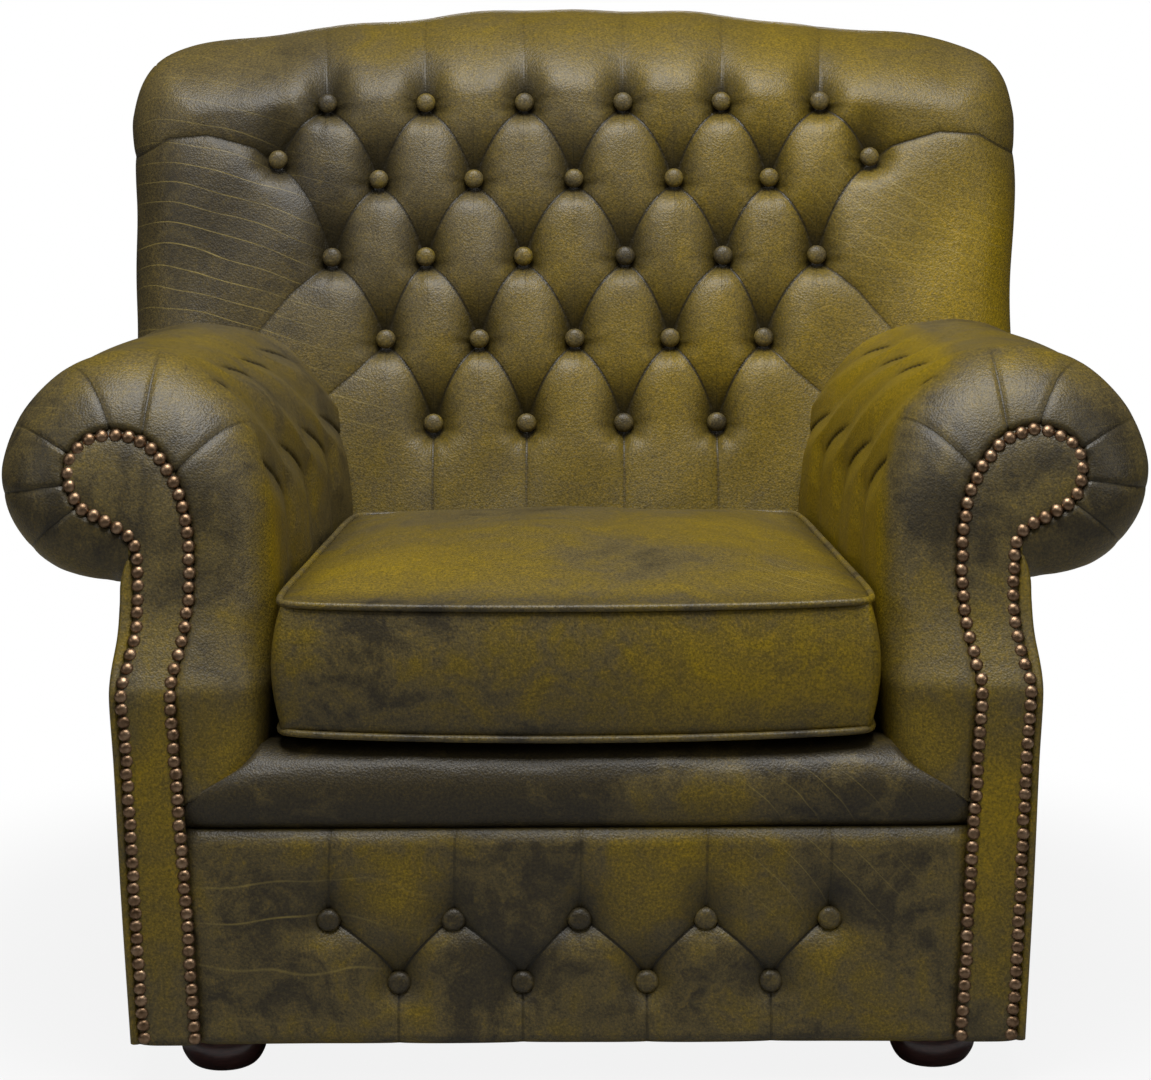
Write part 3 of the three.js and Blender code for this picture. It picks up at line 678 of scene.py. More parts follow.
def copies(verts, quads, tris, places, across, up, out):
    """The same body at many places; across, up and out are its three directions there, each (n, 3)."""
    turned = (verts[None, :, 0:1] * across[:, None] + verts[None, :, 1:2] * up[:, None]
              + verts[None, :, 2:3] * out[:, None] + places[:, None])
    step = (np.arange(len(places)) * len(verts))[:, None, None]
    return turned.reshape(-1, 3), (quads[None] + step).reshape(-1, 4), (tris[None] + step).reshape(-1, 3)


def directions(out):
    """Unit directions across, up and out for each row of out; across is level."""
    out = out / np.linalg.norm(out, axis=1, keepdims=True)
    across = np.cross(np.array([0.0, 0.0, 1.0]), out)
    across /= np.linalg.norm(across, axis=1, keepdims=True)
    return across, np.cross(out, across), out


def button_set(name, places, out, scale, *nodes, yellow=-0.15):
    """Buttons at the places, facing along out; they replace the named nodes."""
    places = np.asarray(places, float)
    out = np.broadcast_to(np.asarray(out, float), places.shape)
    loops = spin(BUTTON_PROFILE[1:] * scale, 20)
    verts, quads, tris = copies(*tube(loops), places, *directions(out))
    piece = body(name, verts, quads, tris, yellow=np.full(len(verts), yellow))
    return fit_on(piece, leather, "green_leather", *nodes)


print("button profile:", len(BUTTON_PROFILE), "points")

# %% buttons of the back
BACK_OUT = (0.0, -1.0, 0.22)
SEAT_OF_BUTTON = 14.0
SIDES = (("left", np.array([-1.0, 1.0, 1.0])), ("right", np.ones(3)))

for i, (z, xs) in enumerate(BACK_ROWS.items()):
    places = [(x, back_front_y(z) + SEAT_OF_BUTTON, z) for x in both_sides(xs)]
    button_set(f"leather_buttons_row_{i + 1}", places, BACK_OUT, 1.0, f"back_buttons_row_{i + 1}")
for side, s in SIDES:
    place = [(s[0] * SIDE_BUTTON[0], back_front_y(SIDE_BUTTON[1]) + SEAT_OF_BUTTON, SIDE_BUTTON[1])]
    button_set(f"{side}_leather_side_button", place, BACK_OUT, 1.0, f"{side}_back_side_button")

# %% [markdown]
# ## The arms
# Each arm is one skin: it starts at the nail line of the arm front, swells out over a rounded edge to the
# full roll, and runs back to the chair's back while the inside wall closes in. Two matching curves, the
# nail line and the full section, are blended with a quarter turn. Small pleats gather the leather round the
# scroll. The inside is drawn in by hidden buttons: soft ribs slant down to the rear, with two rows of short
# folds across them. A bent cylinder could be pushed into shape, but the blend gives the nail line and the
# roll exactly where they belong.

# %% arm curves
ARM_PAIRS = np.array([
    (328, 256, 266, 296), (333, 306, 264, 345), (336, 357, 264, 395), (328, 400, 264, 430),
    (324, 440, 266, 472), (325, 485, 272, 525), (332, 518, 287, 576), (342, 540, 308, 609),
    (356, 559, 338, 631), (371, 570, 366, 639), (396, 576, 404, 640), (421, 569, 450, 625),
    (434, 555, 483, 590), (437, 540, 497, 545), (434, 524, 494, 512), (429, 514, 484, 487),
    (420, 504, 466, 464), (411, 500, 448, 451), (400, 494, 431, 445), (390, 489, 415, 442),
    (381, 482, 402, 441), (377, 470, 394, 440)], float)
ARM_INSIDE = np.array([(372, 458, 380, 438), (368, 420, 372, 420), (364, 340, 366, 340),
                       (350, 262, 352, 268)], float)
ARM_COLUMNS, ARM_ROWS, EDGE_ROWS = 250, 170, 15
FACE_Y = -436.0
FRONT_PROFILE = smooth_path([(0, 0), (200, 0), (330, 0), (351, 0), (358, 1.5), (366, 5.5), (380, 13),
                             (410, 27), (440, 36), (470, 42), (500, 47.5), (540, 57), (576, 69), (610, 82),
                             (640, 95), (700, 118)], 700)


def face_y(z):
    """The front of the arm: upright to the kink, then leaning back, steepest just above the kink."""
    return FACE_Y + np.interp(z, FRONT_PROFILE[:, 0], FRONT_PROFILE[:, 1])


def arm_drift(x, y, z):
    """The inside wall closes in by 0.088 per 1 back, the roll drifts in and sinks a little."""
    share = np.clip((358.0 - x) / 94.0, 0, 1)
    outer = np.clip((x - 391.0) / 99.0, 0, 1)
    back = np.maximum(0.0, y + 372.0)
    moved = x - 0.088 * (y + 440.0) * share - (0.03 * (1 - share) + 0.02 * outer) * back
    return moved, z - 0.056 * back * ramp(z, 450, 620)


curve = smooth_path(ARM_PAIRS, ARM_COLUMNS)
nail_curve, full_curve = curve[:, :2], curve[:, 2:]
arc = run_along(full_curve)
turns = np.linspace(0, np.pi / 2, EDGE_ROWS)[:, None]
lengths = np.linspace(0, 1, ARM_ROWS + 1)[1:, None]
print("arm section:", round(arc[-1]), "mm round")

# %% arm skin
EDGE_DEPTH = 52.0
EDGE_RADIUS, EDGE_ARC = 60.0, 94.0
REAR_TUCK = 26.0


def rounded_edge(front, full, set_back=0.0):
    """The quarter turn from a front line to the full section, as rows of points."""
    xz = front[None] + (full - front)[None] * np.sin(turns)[..., None]
    y = face_y(xz[..., 1]) + set_back + EDGE_DEPTH * (1 - np.cos(turns))
    return np.stack([xz[..., 0], y, xz[..., 1]], -1)


def run_back(full):
    """Depths along the arm: where its edge ends, and the rows from there into the chair's back."""
    start = face_y(full[:, 1]) + EDGE_DEPTH
    return start, start + (back_front_y(full[:, 1]) + REAR_TUCK - start) * lengths


skin_edge = rounded_edge(nail_curve, full_curve)
run_y0, run_y = run_back(full_curve)
run_x, run_z = arm_drift(full_curve[None, :, 0], run_y, full_curve[None, :, 1])
drift_x, drift_z = np.array(arm_drift(full_curve[:, 0], run_y0, full_curve[:, 1])) - full_curve.T
skin_edge[..., 0] += drift_x * np.sin(turns)
skin_edge[..., 2] += drift_z * np.sin(turns)
arm_skin = np.concatenate([skin_edge, np.stack([run_x, run_y, run_z], -1)])
from_nails = np.concatenate([turns * EDGE_RADIUS + 0 * arc, EDGE_ARC + run_y - run_y0])
param = np.stack([from_nails, np.broadcast_to(arc, from_nails.shape)], -1).reshape(-1, 2)
print("arm skin:", arm_skin.shape[0], "by", arm_skin.shape[1], "points")

# %% arm pleats
SCROLL_PLEATS = (((342, 540), (287, 576)), ((371, 570), (366, 639)), ((398, 576), (446, 627)),
                 ((434, 556), (490, 575)), ((436, 530), (495, 515)), ((426, 509), (468, 466)))
RIB = ((346, -350), (321, -275), (256, -222), (206, -130), (100, -128))
RIB_STEP, RIB_COUNT = 123.0, 5


def arm_at(length, y):
    """(distance from the nails, arc length) of a place on the arm, by its arc length and depth."""
    k = np.abs(arc - length).argmin()
    return EDGE_ARC + y - run_y0[k], arc[k]


def tuck_line(start, end):
    """A short fold: a pleat that fades out at both ends."""
    line = pleat(start, end, steps=14)
    line[:, 2] = np.interp(np.linspace(0, 1, 14), [0.0, 0.25, 0.75, 1.0], [0.15, 1.0, 1.0, 0.05])
    line[:, 2] *= ramp(line[:, 0], 60, 110)
    return line


scroll_pleats = []
for at_nails, at_roll in SCROLL_PLEATS:
    a0 = arc[np.linalg.norm(nail_curve - at_nails, axis=1).argmin()]
    a1 = arc[np.linalg.norm(full_curve - at_roll, axis=1).argmin()]
    scroll_pleats.append(np.array([(0.0, a0, 0.9), (45.0, 0.55 * a0 + 0.45 * a1, 0.8), (92.0, a1, 0.15)]))
valleys, tucks = [], []
for i in range(-1, RIB_COUNT - 1):
    high, low, start, end, foot = (arm_at(length, y + RIB_STEP * i) for length, y in RIB)
    tucks += [tuck_line(high, low), tuck_line(start, end)]
    valleys.append(np.concatenate([pleat(high, low, (0.5, 0.9)), pleat(start, end, (0.8, 1.0)),
                                   [(end[0], end[1] - 40.0, 0.7), (foot[0], foot[1], 0.35)]]))
print("arm:", len(scroll_pleats), "scroll pleats,", len(valleys), "ribs,", len(tucks), "short folds")

# %% arm depth
RIB_REACH, OVERLAP_REACH = 42.0, 16.0
FOLD_DEPTH, RIB_DEPTH, PLEAT_DEPTH, OVERLAP_HEIGHT = 2.5, 6.5, 3.2, 1.6

inside = ramp(param[:, 0], 60, 110) * ramp(-param[:, 1], -400, -350)
gap, strength = near_pleats(param, valleys, 3.0, 46.0)[2:]
slope = strength * (0.5 + 0.5 * np.cos(np.pi * np.clip(np.abs(gap) / RIB_REACH, 0, 1))) * inside
crease, _, gap, strength = near_pleats(param, tucks, 3.0, 20.0)
overlap = np.where(gap > 0, strength * np.exp(-np.abs(gap) / OVERLAP_REACH), 0.0)
tuck = near_pleats(param, scroll_pleats, 2.2, 10.0)[0]
signed, hold = near_pleats(param, tucks + scroll_pleats, 3.0, 52.0)[2:]
depth = FOLD_DEPTH * crease + RIB_DEPTH * slope + PLEAT_DEPTH * tuck - OVERLAP_HEIGHT * overlap
depth += np.sin(param[:, 0] / 43.0 + param[:, 1] / 27.0)
outward = normals_of(arm_skin)
outward *= np.sign(outward[ARM_ROWS // 2, ARM_COLUMNS * 5 // 8, 0])
arm_front = arm_skin - outward * depth.reshape(from_nails.shape)[..., None]
print("deepest point of the arm:", round(float(depth.max()), 1), "mm")

# %% arm loops
CAP_SET_BACK, INSIDE_SET_BACK = 30.0, 3.0

section = ARM_INSIDE[:, 2:]
in_y = run_back(section)[1]
in_run = np.stack([section[:, 0] + 0 * in_y, in_y, section[:, 1] + 0 * in_y], -1)
in_edge = rounded_edge(ARM_INSIDE[:, :2], section, INSIDE_SET_BACK)
arm_loops = np.concatenate([arm_front, np.concatenate([in_edge, in_run])], axis=1)
arm_loops = np.concatenate([arm_loops[:1] + (0.0, CAP_SET_BACK, 0.0), arm_loops])
print("arm loops:", arm_loops.shape[0], "of", arm_loops.shape[1], "points")

# %% arm wear and painted shade
EDGE_RUBBED = ((0.75, 88, 455, 24, 75), (0.45, 35, 305, 35, 45), (-0.25, 25, 500, 35, 60))
SHADE_OF_EDGE = (0.4, 72, 390, 20, 85)


def on_arm(values):
    """Values of the arm's skin for all its points: 0 on the cap loop and inside the arm."""
    return np.pad(values.reshape(from_nails.shape), [(1, 0), (0, len(ARM_INSIDE))]).ravel()


ax, ay, az = np.moveaxis(arm_front, -1, 0)
# Painted shade: darker in the creases, rib valleys and scroll pleats, close to the nails on the roll and low
# on the front, and in a band beside the rounded edge.
arm_painted_shade = (0.55 * crease + 0.25 * slope**2 + 0.3 * tuck).reshape(from_nails.shape)
arm_painted_shade += 0.6 * np.exp(-from_nails / 26.0) * ramp(az, 460, 540)
arm_painted_shade += 0.25 * np.exp(-from_nails / 14.0) * ramp(-az, -520, -460)
arm_painted_shade += spots(from_nails, az, (SHADE_OF_EDGE,))
arm_yellow = -0.10 + spots(from_nails, az, EDGE_RUBBED)
arm_yellow += 0.25 * spot(ay, az, -150, 625, 200, 22) - 0.15 * spot(ax, az, 480, 560, 70, 90)
inside_yellow = 0.7 * ramp(from_nails, 60, 110) * ramp(-ax, -345, -315)
rubbed = {"left": on_arm(arm_yellow), "right": on_arm(arm_yellow + inside_yellow)}
arm_wear_and_shade = dict(fold=on_arm(np.clip(arm_painted_shade, 0, 1)), line=on_arm(0.25 * spot(ay, az, -350, 600, 60, 80)),
                pleat=on_arm(signed), hold=on_arm(hold), strain=on_arm(az / 17.0),
                even=np.full(arm_loops.shape[:2], 0.3).ravel())
print("wear on the arms:", ", ".join(arm_wear_and_shade))

# %% arms and their hidden buttons
ARM_BUTTONS = {"upper": (597.0, (-290.0, -180.0, -70.0, 40.0)), "lower": (535.0, (-235.0, -125.0, -15.0))}
WALL_COLUMNS = 92
BUTTON_SINK = 27.0

for side, s in SIDES:
    piece = body(f"{side}_rolled_arm", *tube(arm_loops * s), yellow=rubbed[side], **arm_wear_and_shade)
    fit_on(piece, leather, "green_leather", f"{side}_arm_pad", fill=0.85)
    for row, (height, ys) in ARM_BUTTONS.items():
        k = np.abs(full_curve[:WALL_COLUMNS, 1] - height).argmin()
        rows = [np.abs(arm_skin[EDGE_ROWS:, k, 1] - y).argmin() + EDGE_ROWS for y in ys]
        places = arm_skin[rows, k] - outward[rows, k] * BUTTON_SINK
        button_set(f"{side}_arm_leather_buttons_{row}", places * s, (-s[0], 0.0, 0.25), 1.0,
                   f"{side}_arm_buttons_{row}")

# %% [markdown]
# ## Arm fronts
# A flat leather panel closes each arm front and follows the scroll like a comma. Points of its inner edge
# are paired with points of its outer edge, and the strips between them are slightly padded. A filled curve
# would be quicker, but it has no rows to bulge.

# %% arm facing
INNER_EDGE = smooth_path([(316.2, 40), (321.6, 131), (326.7, 209), (333, 306), (336, 357), (331.5, 381),
                          (326.4, 408), (323.7, 437), (324, 470), (326.5, 494), (332, 518), (342, 540),
                          (356, 559), (371, 570), (396, 576), (421, 569), (434, 555), (437, 540)], 240)
OUTER_EDGE = smooth_path([(366.7, 40), (371.3, 116), (376.4, 209), (381.4, 306), (385, 357), (381, 377),
                          (378, 391), (375, 408), (374.5, 427), (375.5, 449), (377, 470), (381, 482),
                          (390, 489), (400, 494), (411, 500), (420, 504), (429, 514), (434, 524),
                          (437, 540)], 240)
INNER_KEYS, OUTER_KEYS = (0, 120, 149, 239), (0, 143, 194, 239)
# Rubbed yellow patches on the facing; the one at 410 mm height, at the neck, is a painted highlight.
FACING_RUBBED_AND_LIT = ((0.75, 345, 250, 60, 95), (0.3, 352, 410, 50, 45), (0.25, 340, 120, 60, 80))
FACING_BULGE, FACING_SET_BACK, FACING_REAR = 5.0, 2.0, 11.0


def spread(edge, keys, count):
    """Points of an edge: equal numbers between its keys, which are the foot, kink, neck and tip."""
    at = np.interp(np.linspace(0, 3, count), range(4), keys)
    return np.stack([np.interp(at, np.arange(len(edge)), edge[:, k]) for k in (0, 1)], -1)


inner, outer = spread(INNER_EDGE, INNER_KEYS, 150), spread(OUTER_EDGE, OUTER_KEYS, 150)
across = np.linspace(0, 1, 15)
facing_xz = inner[:, None] + (outer - inner)[:, None] * across[None, :, None]
width = np.linalg.norm(outer - inner, axis=1)
bulge = FACING_BULGE * (1 - (2 * across - 1) ** 4)[None] * np.clip(width / 45.0, 0, 1)[:, None]
facing_y = face_y(facing_xz[..., 1])
facing_front = np.stack([facing_xz[..., 0], facing_y + FACING_SET_BACK - bulge, facing_xz[..., 1]], -1)
facing_rear = np.stack([facing_xz[..., 0], facing_y + FACING_REAR, facing_xz[..., 1]], -1)
# Darker towards both edges of the facing, along the nail lines.
rim_darkening = np.broadcast_to(np.abs(2 * across - 1) ** 6 * 0.5, facing_xz.shape[:2]).ravel()
facing_yellow_and_highlight = -0.26 + spots(*facing_xz.reshape(-1, 2).T, FACING_RUBBED_AND_LIT)
for side, s in SIDES:
    piece = body(f"{side}_leather_facing", *slab(facing_front * s, [], facing_rear * s), fold=rim_darkening,
                 yellow=facing_yellow_and_highlight, even=np.full(len(facing_yellow_and_highlight), 0.25))
    fit_on(piece, leather, "green_leather", f"{side}_arm_facing", fill=0.3)

# %% [markdown]
# ## Nails
# Domed bronze nails run up one edge of the facing, round the scroll and down the other edge, nearly
# touching. Each is set by hand, so its place and tilt vary a little. They could be scattered along a curve
# by nodes. Here they are copied as arrays, which keeps each nail to a few dozen faces and the spread
# repeatable.

# %% nail material
BRONZE_ROUGHNESS = (0.32, 0.5)


def make_bronze():
    """Aged bronze: brown and coppery clouds, darker in patches, a little grime in the roughness."""
    material, tree, shader = new_material("aged_bronze")
    coords = put(tree, "ShaderNodeTexCoord").outputs["Object"]
    tone = colour_ramp(tree, noise(tree, coords, 140.0, 3.0),
                       [(0.3, (0.125, 0.074, 0.040)), (0.55, (0.25, 0.160, 0.095)),
                        (0.75, (0.38, 0.265, 0.170))])
    tree.links.new(shader.inputs["Base Color"], tone)
    dull = remap(tree, noise(tree, coords, 300.0, 2.0), 0.0, 1.0, *BRONZE_ROUGHNESS)
    tree.links.new(shader.inputs["Roughness"], dull)
    shader.inputs["Metallic"].default_value = 1.0
    return material


bronze = make_bronze()
print("bronze nodes:", len(bronze.node_tree.nodes))

# %% nails
NAIL_PITCH, NAIL_INSET, NAIL_FIRST = 11.4, 4.2, 6.0
NAIL_JITTER, NAIL_TILT, NAIL_SEAT = 0.35, 0.05, 0.2
NAIL_PROFILE = np.array([(1.2, 4.4), (3.4, 3.8), (5.3, 2.3), (6.05, 0.2), (5.8, -1.4)])

path = np.concatenate([INNER_EDGE, OUTER_EDGE[-2::-1]])
tangent = np.gradient(path, axis=0)
tangent /= np.linalg.norm(tangent, axis=1, keepdims=True)
inset = path + np.stack([tangent[:, 1], -tangent[:, 0]], -1) * NAIL_INSET
run = run_along(inset)
count = int(run[-1] / NAIL_PITCH)
at = np.linspace(NAIL_FIRST, run[-1] - NAIL_FIRST, count)
nail_xz = np.stack([np.interp(at, run, inset[:, k]) for k in (0, 1)], -1)
for side, s in SIDES:
    xz = nail_xz + rng.normal(0, NAIL_JITTER, (count, 2))
    tilt = rng.normal(0, NAIL_TILT, (count, 2))
    places = np.stack([xz[:, 0], face_y(xz[:, 1]) - NAIL_SEAT, xz[:, 1]], -1) * s
    lean = (face_y(xz[:, 1] + 2.0) - face_y(xz[:, 1] - 2.0)) / 4.0
    out = np.stack([tilt[:, 0], -np.ones(count), lean + tilt[:, 1]], -1)
    parts = copies(*tube(spin(NAIL_PROFILE, 10)), places, *directions(out))
    fit_on(body(f"{side}_bronze_nails", *parts), bronze, "nail_bronze", f"{side}_nail_trim")
print("nails on each side:", count)

# %% [markdown]
# ## Apron and lip
# Under the cushion the leather rolls over a padded lip and then falls as a buttoned apron. The apron uses
# the same pleats as the back, on a flat panel. The lip is one profile carried across the seat, and its ends
# are cut slantwise where they meet the arms. Both could be one sheet, but on the chair a seam parts them.

# %% apron pleats
APRON_ROWS = {"upper": (149, (-209, -104, 2, 108, 212)), "lower": (92, (-150, -46, 58, 162))}
APRON_TOP, APRON_FOOT = 232.0, 38.0
APRON_PLEAT_SPAN = 62.0


def apron_half(z):
    """Half the width between the nail lines at a height."""
    return 318.0 + (z - 51.0) * 16.4 / 255.0


u, v = np.meshgrid(crowded(290, 0.2), np.linspace(0, 1, 100))
pz = (APRON_FOOT + (APRON_TOP - APRON_FOOT) * v).ravel()
px = u.ravel() * apron_half(pz)
apron_points = np.stack([px, pz], -1)
apron_buttons = [(bx, bz) for bz, row in APRON_ROWS.values() for bx in row]
(high, upper_row), (low, lower_row) = APRON_ROWS.values()
apron_pleats = [np.array([(bx, high, 1.0), (bx + 1, 190, 0.6), (bx + 2, 236, 0.5)]) for bx in upper_row]
apron_pleats += [pleat((a, high), (b, low)) for a in upper_row for b in lower_row
                 if abs(a - b) < APRON_PLEAT_SPAN]
apron_pleats += [np.array([(bx, low, 1.0), (bx, 66, 0.6), (bx, 36, 0.5)]) for bx in lower_row]
print("apron:", len(apron_buttons), "buttons,", len(apron_pleats), "pleats")

# %% apron
APRON_Y, APRON_REAR_Y, APRON_BUTTON_Y = -437.0, -404.0, -422.5
APRON_GROOVE, APRON_SLOPE, APRON_HOLLOW = 3.0, 6.0, 8.0
APRON_RUBBED = ((-0.35, 0, 130, 400, 90), (0.45, -150, 150, 60, 70), (0.4, 130, 190, 70, 50),
                (0.3, 40, 150, 40, 60))


def near_edge(gap, reach):
    """1 at an edge, falling to 0 at a reach from it with the square of what is left."""
    return np.clip(1 - gap / reach, 0, 1) ** 2


crease, slope, signed, hold = near_pleats(apron_points, apron_pleats, 2.6, 40.0)
hollow = button_hollow(apron_points, apron_buttons, 21.0, 30.0, 19.0)
fade = 0.4 + 0.6 * button_hollow(apron_points, apron_buttons, 46.0, 50.0, 50.0)
depth = (APRON_GROOVE * crease + APRON_SLOPE * slope) * fade + APRON_HOLLOW * hollow
depth += 0.8 * np.sin(px / 33.0 + pz / 19.0) + 6.0 * near_edge(apron_half(pz) - np.abs(px), 16.0)
depth += 8.0 * near_edge(APRON_TOP - pz, 16.0) + 8.0 * near_edge(pz - APRON_FOOT, 10.0)
apron_front = np.stack([px, APRON_Y + depth, pz], -1).reshape(*u.shape, 3)
apron_edge = apron_front.reshape(-1, 3)[edge_of(*u.shape)]
apron_rear = apron_edge * (1, 0, 1) + (0, APRON_REAR_Y, 0)
# Painted shade along the pleats and in a hollow above each button, taller than below; darker at the top seam
# under the lip.
apron_shade_and_seam = 0.3 * crease + 0.8 * button_hollow(apron_points, apron_buttons, 22.0, 36.0, 11.0)
apron_shade_and_seam += 0.6 * np.clip(1 - (APRON_TOP - pz) / 10.0, 0, 1)
apron = body("buttoned_apron", *shell(apron_front, [apron_rear]), fold=np.clip(apron_shade_and_seam, 0, 1),
             pleat=signed, hold=hold, strain=(pz + 0.16 * (px + 330.0)) / 44.0,
             yellow=spots(px, pz, APRON_RUBBED), line=0.7 * spot(px, pz, -240, 150, 100, 80),
             scratch=0.7 * spot(px, pz, 200, 190, 70, 40))
fit_on(apron, leather, "green_leather", "front_apron", fill=0.7)
for row, (bz, xs) in APRON_ROWS.items():
    for i, bx in enumerate(xs, 1):
        button_set(f"apron_leather_button_{row}_{i}", [(bx, APRON_BUTTON_Y, bz)], (0.0, -1.0, 0.12), 1.06,
                   f"apron_button_{row}_{i}", yellow=-0.4)

# %% lip
LIP_HALF, LIP_SLANT = 331.0, 64.0
LIP_CLOSE = np.array([(-364, 285), (-364, 260), (-370, 236), (-395, 230)], float)

lip_profile = smooth_path([(-423, 231), (-430, 237), (-435, 248), (-438, 262), (-436, 278), (-427, 293),
                           (-410, 302), (-390, 305), (-368, 303)], 46)
lip_y, lip_z = np.concatenate([lip_profile, LIP_CLOSE]).T
lip_u = crowded(150, 0.3)[:, None]
lip_half = LIP_HALF - LIP_SLANT * ramp(lip_z, 250, 304)
sag = 2.5 * np.sin(lip_u * 9.0) + 1.5 * np.sin(lip_u * 23.0 + 1.0)
ends = 5.0 * near_edge((1 - np.abs(lip_u)) * LIP_HALF, 40.0)
lip_loops = np.stack([lip_u * lip_half, lip_y + ends * np.linspace(1, 0, len(lip_y)),
                      lip_z + 0.25 * sag * (lip_z > 285)], -1)
lx, lz = lip_loops[..., 0].ravel(), lip_loops[..., 2].ravel()
# Darker at the seam with the apron, and a painted shadow along the top of the roll, under the cushion.
lip_shadow_and_seam = 0.8 * np.clip(1 - (lz - 232) / 9.0, 0, 1) + 0.55 * np.clip((lz - 296) / 8.0, 0, 1)
lip = body("rolled_lip", *tube(lip_loops), fold=np.clip(lip_shadow_and_seam, 0, 1),
           yellow=-0.4 + 0.5 * spot(lx, lz, 130, 255, 90, 30), scratch=0.6 * spot(lx, lz, 190, 265, 70, 25))
fit_on(lip, leather, "green_leather", "front_lip", fill=0.75)

# %% [markdown]
# ## The seat cushion
# The loose cushion is a box: a crowned top, a straight border and a bottom, joined by piped seams. It is
# built as a slack box and then blown up by a short cloth simulation, which rounds the border, lets the
# seams pull in and leaves soft dents, as the filling does. A rounded box would be quicker, but it would
# look too regular. The piping is laid on the seam afterwards, so that it follows the blown-up shape.

# %% cushion box
SEAM_LOW, SEAM_HIGH = 317.0, 431.0
PLAN_MIDDLE_Y, PLAN_HALF_DEPTH = -192.0, 232.0
BORDER_ROWS = 18
BORDER_BULGE, FRONT_SWELL, TOP_CROWN = 9.0, 7.0, 20.0


def cushion_plan(p, q):
    """A rounded trapezoid: the square (p, q) with its corners pulled in, narrower to the rear.

    Its front edge swells forward in the middle."""
    round_p = p * np.sqrt(1 - 0.045 * q**8)
    round_q = q * np.sqrt(1 - 0.045 * p**8)
    y = PLAN_MIDDLE_Y + round_q * PLAN_HALF_DEPTH - FRONT_SWELL * (1 - p**2) * ramp(-q, 0.2, 1.0)
    return round_p * (254.0 - 0.088 * (y + 424.0)), y


def level_outward(loop):
    """Unit level directions out of a closed loop, square to it."""
    along = np.roll(loop, -1, axis=0) - np.roll(loop, 1, axis=0)
    away = np.stack([along[:, 1], -along[:, 0], 0 * along[:, 0]], -1)
    away /= np.linalg.norm(away, axis=1, keepdims=True)
    return away * np.sign(((loop - loop.mean(axis=0)) * away).sum(axis=1, keepdims=True))


p, q = np.meshgrid(np.linspace(-1, 1, 96), np.linspace(-1, 1, 88))
cx, cy = cushion_plan(p, q)
crown = (1 - np.abs(p) ** 2.6) * (1 - np.abs(q) ** 2.6)
front_sag = (1 - p**2) * ramp(-q, 0.4, 1.0)
cushion_top = np.stack([cx, cy, SEAM_HIGH - 3.0 * front_sag + TOP_CROWN * crown], -1)
cushion_bottom = np.stack([cx, cy, SEAM_LOW - 5.0 * front_sag], -1)
edge = edge_of(*p.shape)
rim, foot = cushion_top.reshape(-1, 3)[edge], cushion_bottom.reshape(-1, 3)[edge]
shares = np.arange(1, BORDER_ROWS) / BORDER_ROWS
border = [rim + (foot - rim) * share + level_outward(rim) * BORDER_BULGE * math.sin(math.pi * share)
          for share in shares]
cushion_parts = slab(cushion_top, border, cushion_bottom)
SEAMS = {"top": edge, "bottom": len(cushion_parts[0]) - p.size + edge}
seat_cushion = body("seat_cushion_leather", *cushion_parts)
print("cushion vertices:", len(cushion_parts[0]))

# %% cushion cloth
CLOTH_FRAMES = 20
MOST_MOVE = 24.0 * MM
SEAM_HOLD = 0.9
CLOTH = dict(quality=6, mass=0.05, tension_stiffness=24.0, compression_stiffness=24.0, shear_stiffness=12.0,
             bending_stiffness=2.0, use_pressure=True, uniform_pressure_force=40.0,
             vertex_group_mass="seam", pin_stiffness=0.6)


def blow_up(obj, seams):
    """Runs Cloth with pressure and no gravity, seams held loosely, then keeps the moved points, capped."""
    group = obj.vertex_groups.new(name="seam")
    group.add([int(i) for i in seams], SEAM_HOLD, "REPLACE")
    cloth = obj.modifiers.new("filling", "CLOTH")
    for key, value in CLOTH.items():
        setattr(cloth.settings, key, value)
    cloth.settings.effector_weights.gravity = 0.0
    start = np.empty(len(obj.data.vertices) * 3)
    obj.data.vertices.foreach_get("co", start)
    scene = bpy.context.scene
    for number in range(1, CLOTH_FRAMES + 1):
        scene.frame_set(number)
    shaped = obj.evaluated_get(bpy.context.evaluated_depsgraph_get()).to_mesh()
    moved = np.empty_like(start)
    shaped.vertices.foreach_get("co", moved)
    obj.to_mesh_clear()
    obj.modifiers.remove(cloth)
    obj.vertex_groups.remove(group)
    scene.frame_set(1)
    step = (moved - start).reshape(-1, 3)
    size = np.linalg.norm(step, axis=1, keepdims=True)
    step *= np.minimum(1.0, MOST_MOVE / np.maximum(size, 1e-9))
    print("cloth moved points by up to", round(float(size.max()) * 1000, 1), "mm")
    return start.reshape(-1, 3) + step


cushion_shape = blow_up(seat_cushion, np.concatenate(list(SEAMS.values())))
print("cushion box:", cushion_shape.min(axis=0), cushion_shape.max(axis=0))

# %% cushion finish
SEAT_LEVEL = 306.5
DENT_DEPTH = 1.6
TOP_RUBBED = ((0.3, -120, -330, 140, 70), (0.25, 150, -200, 120, 120), (-0.3, 0, -80, 200, 80),
              (-0.3, 60, -330, 90, 60))
FRONT_RUBBED = ((0.3, 180, 360, 110, 50), (0.3, -60, 380, 90, 50), (-0.35, -190, 380, 90, 60),
                (-0.25, 60, 400, 60, 30))

